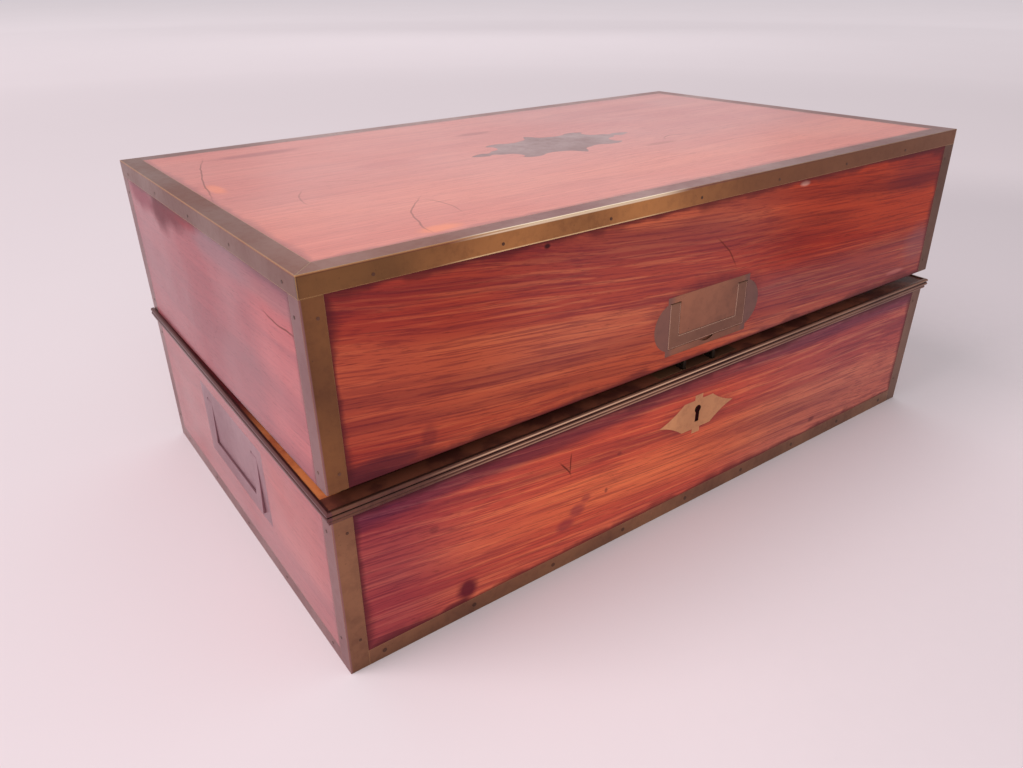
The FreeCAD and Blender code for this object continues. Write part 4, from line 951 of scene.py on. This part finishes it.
# the first word that a node's name holds decides its finish
finishWords = [
    ("lid_corner_strap", brassLidCorners),
    ("base_corner_strap", brassBaseCorners),
    ("lid_top_straps", brassTop),
    ("foot_straps", brassFoot),
    ("rim_moulding", brassMoulding),
    ("lid_handle_bail", brassLidBail),
    ("lid_handle", brassLidHandle),
    ("left_handle", brassEndHandle),
    ("handle", brassHandles),
    ("key_escutcheon", brassKeyhole),
    ("top_cartouche", brassInlay),
    ("lock_link_plate", brassLink),
    ("lock", brassLock),
    ("flap_leather", writingLeather),
    ("lid_lining", liningLeather),
    ("ink_bottle", bottleGlass),
    ("base_right_board", rimEnd),
    ("base_back_board", rimLong),
    ("lid_right_board", plainEnd),
    ("drawer_front", rimEnd),
    ("drawer_back", insideEnd),
    ("ink_dividers", insideEnd),
    ("tray_ledges", insideEnd),
    ("flap_board", insideLong),
    ("board", plainLong),
    ("hinge", brass),
    ("ink_cap", brass),
    ("drawer_pin", brass),
    ("flap_pivots", brass),
]
finishes = dict(woods)
for name in nodes:
    if name not in finishes:
        fitting = [finish for word, finish in finishWords if word in name]
        finishes[name] = fitting[0] if fitting else insideLong

for name, node in nodes.items():
    node.data.materials.clear()
    node.data.materials.append(finishes[name])
print("materials placed")


# Pins that hold the binding: small heads, almost level with the brass.
pinLook = {
    "radius": 1.05 * millimetre,
    "footRadius": 1.7 * millimetre,
    "proud": 0.12 * millimetre,
    "long": 1.2 * millimetre,
    "sides": 14,
}


def addPin(shape, spot, outward, radius=pinLook["radius"]):
    turn = Vector((0, 0, 1)).rotation_difference(Vector(outward)).to_matrix().to_4x4()
    middle = Vector(spot) - Vector(outward) * (pinLook["long"] / 2 - pinLook["proud"])
    bmesh.ops.create_cone(
        shape,
        cap_ends=True,
        segments=pinLook["sides"],
        radius1=radius,
        radius2=radius * 0.8,
        depth=pinLook["long"],
        matrix=Matrix.Translation(middle) @ turn,
    )


def finishPiece(name, shape, material, body, matrix=None):
    if matrix:
        bmesh.ops.transform(shape, matrix=matrix, verts=shape.verts)
    mesh = bpy.data.meshes.new(name)
    shape.to_mesh(mesh)
    shape.free()
    piece = bpy.data.objects.new(name, mesh)
    bpy.context.scene.collection.objects.link(piece)
    mesh.materials.append(material)
    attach(piece, body)
    return piece


pinBrass = brassMaterial("brass_pins", bright=(0.16, 0.075, 0.046), tarnish=(0.06, 0.030, 0.024), edge=0.0)


def pinRow(first, spacing, limit):
    count = int((limit - first) / spacing) + 1
    return [first + spacing * step for step in range(count)]


basePins = bmesh.new()
for x in pinRow(-endX + 0.020, 0.057, endX - 0.015):
    addPin(basePins, (x, frontY, 0.005), (0, -1, 0), pinLook["footRadius"])
    addPin(basePins, (x, backY, 0.005), (0, 1, 0), pinLook["footRadius"])
for y in pinRow(frontY + 0.021, 0.0635, backY - 0.015):
    addPin(basePins, (-endX, y, 0.005), (-1, 0, 0))
    addPin(basePins, (endX, y, 0.005), (1, 0, 0))
lidPins = bmesh.new()
for x in pinRow(-endX + 0.034, 0.067, endX - 0.015):
    addPin(lidPins, (x, frontY, closedTop - 0.0068), (0, -1, 0))
    addPin(lidPins, (x, backY, closedTop - 0.0068), (0, 1, 0))
for y in pinRow(frontY + 0.0158, 0.066, backY - 0.010):
    addPin(lidPins, (-endX, y, closedTop - 0.0068), (-1, 0, 0))
    addPin(lidPins, (endX, y, closedTop - 0.0068), (1, 0, 0))
for sideX in (-1, 1):
    for sideY in (-1, 1):
        for shape, levels in ((basePins, (0.020, 0.089)), (lidPins, (0.114, 0.190))):
            for level in levels:
                addPin(shape, (sideX * (endX - 0.0073), sideY * backY, level), (0, sideY, 0))
                addPin(shape, (sideX * endX, sideY * (backY - 0.0073), level), (sideX, 0, 0))
finishPiece("base_binding_pins", basePins, pinBrass, "base")
finishPiece("lid_binding_pins", lidPins, pinBrass, "lid", lidTurn)
print("pins placed")


# Floor, lights and camera.

floorLook = {
    "color": (0.86, 0.785, 0.815),
    "middle": (-0.15, -0.25),
    "reach": 5.0,
    # painted light falloff: brighter next to the box, dimmer one to three metres out, brighter again far off
    "paintedFalloff": ((0.02, 0.95), (0.10, 0.83), (0.22, 0.78), (0.38, 0.77), (0.52, 0.82), (0.9, 1.10)),
    # painted shadows of the box on the floor, to its right and in front
    "paintedShadowSpots": (((0.75, -0.05, 0), 0.50, 0.28), ((0.12, -0.62, 0), 0.50, 0.14)),
    "half": 30.0,
    "gap": 0.1 * millimetre,
}


def buildFloor():
    shape = bmesh.new()
    # open under the box, so that its underside stays lit and in sight from below
    bmesh.ops.create_grid(shape, x_segments=3, y_segments=3, size=1)
    middle = [face for face in shape.faces if face.calc_center_median().length < 0.1]
    bmesh.ops.delete(shape, geom=middle, context="FACES_ONLY")
    for vert in shape.verts:
        for axis, inner in ((0, endX - millimetre), (1, backY - millimetre)):
            reach = floorLook["half"] if abs(vert.co[axis]) > 0.5 else inner
            vert.co[axis] = math.copysign(reach, vert.co[axis])
        vert.co.z = -floorLook["gap"]
    mesh = bpy.data.meshes.new("floor")
    shape.to_mesh(mesh)
    shape.free()
    floor = bpy.data.objects.new("floor", mesh)
    bpy.context.scene.collection.objects.link(floor)
    material, tree, shader, place = newMaterial("floor_paper")
    away = addNode(tree, "ShaderNodeVectorMath", operation="DISTANCE")
    tree.links.new(place, away.inputs[0])
    away.inputs[1].default_value = floorLook["middle"] + (0,)
    ramp = addNode(tree, "ShaderNodeValToRGB")
    ramp.color_ramp.interpolation = "B_SPLINE"
    stops = ramp.color_ramp.elements
    stops.remove(stops[0])
    for step, (where, shade) in enumerate(floorLook["paintedFalloff"]):
        stop = stops[0] if step == 0 else stops.new(where)
        stop.position = where
        stop.color = [shade * value for value in floorLook["color"]] + [1]
    join(tree, compute(tree, "DIVIDE", away.outputs["Value"], floorLook["reach"]), ramp.inputs["Fac"])
    color = ramp.outputs["Color"]
    # painted shadows of the box
    for center, radius, dim in floorLook["paintedShadowSpots"]:
        beside = compute(tree, "MULTIPLY", spotMask(tree, place, center, (radius, radius, 0), 0.05), dim)
        color = mixColor(tree, beside, color, (0.30, 0.28, 0.30))
    mottle = between(tree, noise(tree, place, 3.0, 3.0), 0.3, 0.7, 0.0, 0.02)
    color = mixColor(tree, mottle, color, (0.5, 0.45, 0.48))
    join(tree, color, shader.inputs["Base Color"])
    shader.inputs["Roughness"].default_value = 0.85
    shader.inputs["Specular IOR Level"].default_value = 0.0
    clear = addNode(tree, "ShaderNodeBsdfTransparent")
    behind = addNode(tree, "ShaderNodeMixShader")
    output = [node for node in tree.nodes if node.type == "OUTPUT_MATERIAL"][0]
    join(tree, addNode(tree, "ShaderNodeNewGeometry").outputs["Backfacing"], behind.inputs[0])
    tree.links.new(shader.outputs[0], behind.inputs[1])
    tree.links.new(clear.outputs[0], behind.inputs[2])
    tree.links.new(behind.outputs[0], output.inputs["Surface"])
    mesh.materials.append(material)


lampLooks = {
    "key": {"spot": (-3.2, 0.9, 4.0), "size": 2.6, "power": 142, "color": (1.0, 0.86, 0.88)},
    "back": {"spot": (1.7, 2.4, 1.6), "size": 2.4, "power": 7, "color": (1.0, 0.97, 0.98)},
    "front": {"spot": (-1.0, -3.0, 2.4), "size": 2.4, "power": 22, "color": (1.0, 0.95, 0.93)},
}


def buildLamps():
    for name, look in lampLooks.items():
        lamp = bpy.data.lights.new(name, "AREA")
        lamp.shape = "SQUARE"
        lamp.size = look["size"]
        lamp.energy = look["power"]
        lamp.color = look["color"]
        holder = bpy.data.objects.new(name, lamp)
        spot = Vector(look["spot"])
        holder.location = spot
        holder.rotation_euler = (Vector((0, 0, 0.1)) - spot).to_track_quat("-Z", "Y").to_euler()
        bpy.context.scene.collection.objects.link(holder)


worldLook = {"color": (0.80, 0.795, 0.81), "strength": 0.82}


def buildWorld():
    world = bpy.data.worlds.new("studio")
    world.use_nodes = True
    back = world.node_tree.nodes["Background"]
    back.inputs["Color"].default_value = worldLook["color"] + (1,)
    back.inputs["Strength"].default_value = worldLook["strength"]
    bpy.context.scene.world = world


cameraLook = {
    "spot": (-0.3558, -0.4367, 0.3305),
    "right": (0.80914, -0.58761, -0.00225),
    "up": (0.28013, 0.38237, 0.88052),
    "forward": (0.51655, 0.71309, -0.47401),
    "lens": 28.22,
}


def buildCamera():
    lens = bpy.data.cameras.new("camera")
    lens.lens = cameraLook["lens"]
    lens.sensor_width = 36.0
    lens.clip_start = 0.01
    camera = bpy.data.objects.new("camera", lens)
    rows = (Vector(cameraLook["right"]), Vector(cameraLook["up"]), -Vector(cameraLook["forward"]))
    turn = Matrix(rows).transposed().to_4x4()
    camera.matrix_world = Matrix.Translation(cameraLook["spot"]) @ turn
    bpy.context.scene.collection.objects.link(camera)
    bpy.context.scene.camera = camera


buildFloor()
buildLamps()
buildWorld()
buildCamera()
bpy.context.scene.view_settings.view_transform = "Standard"
print("stage ready")
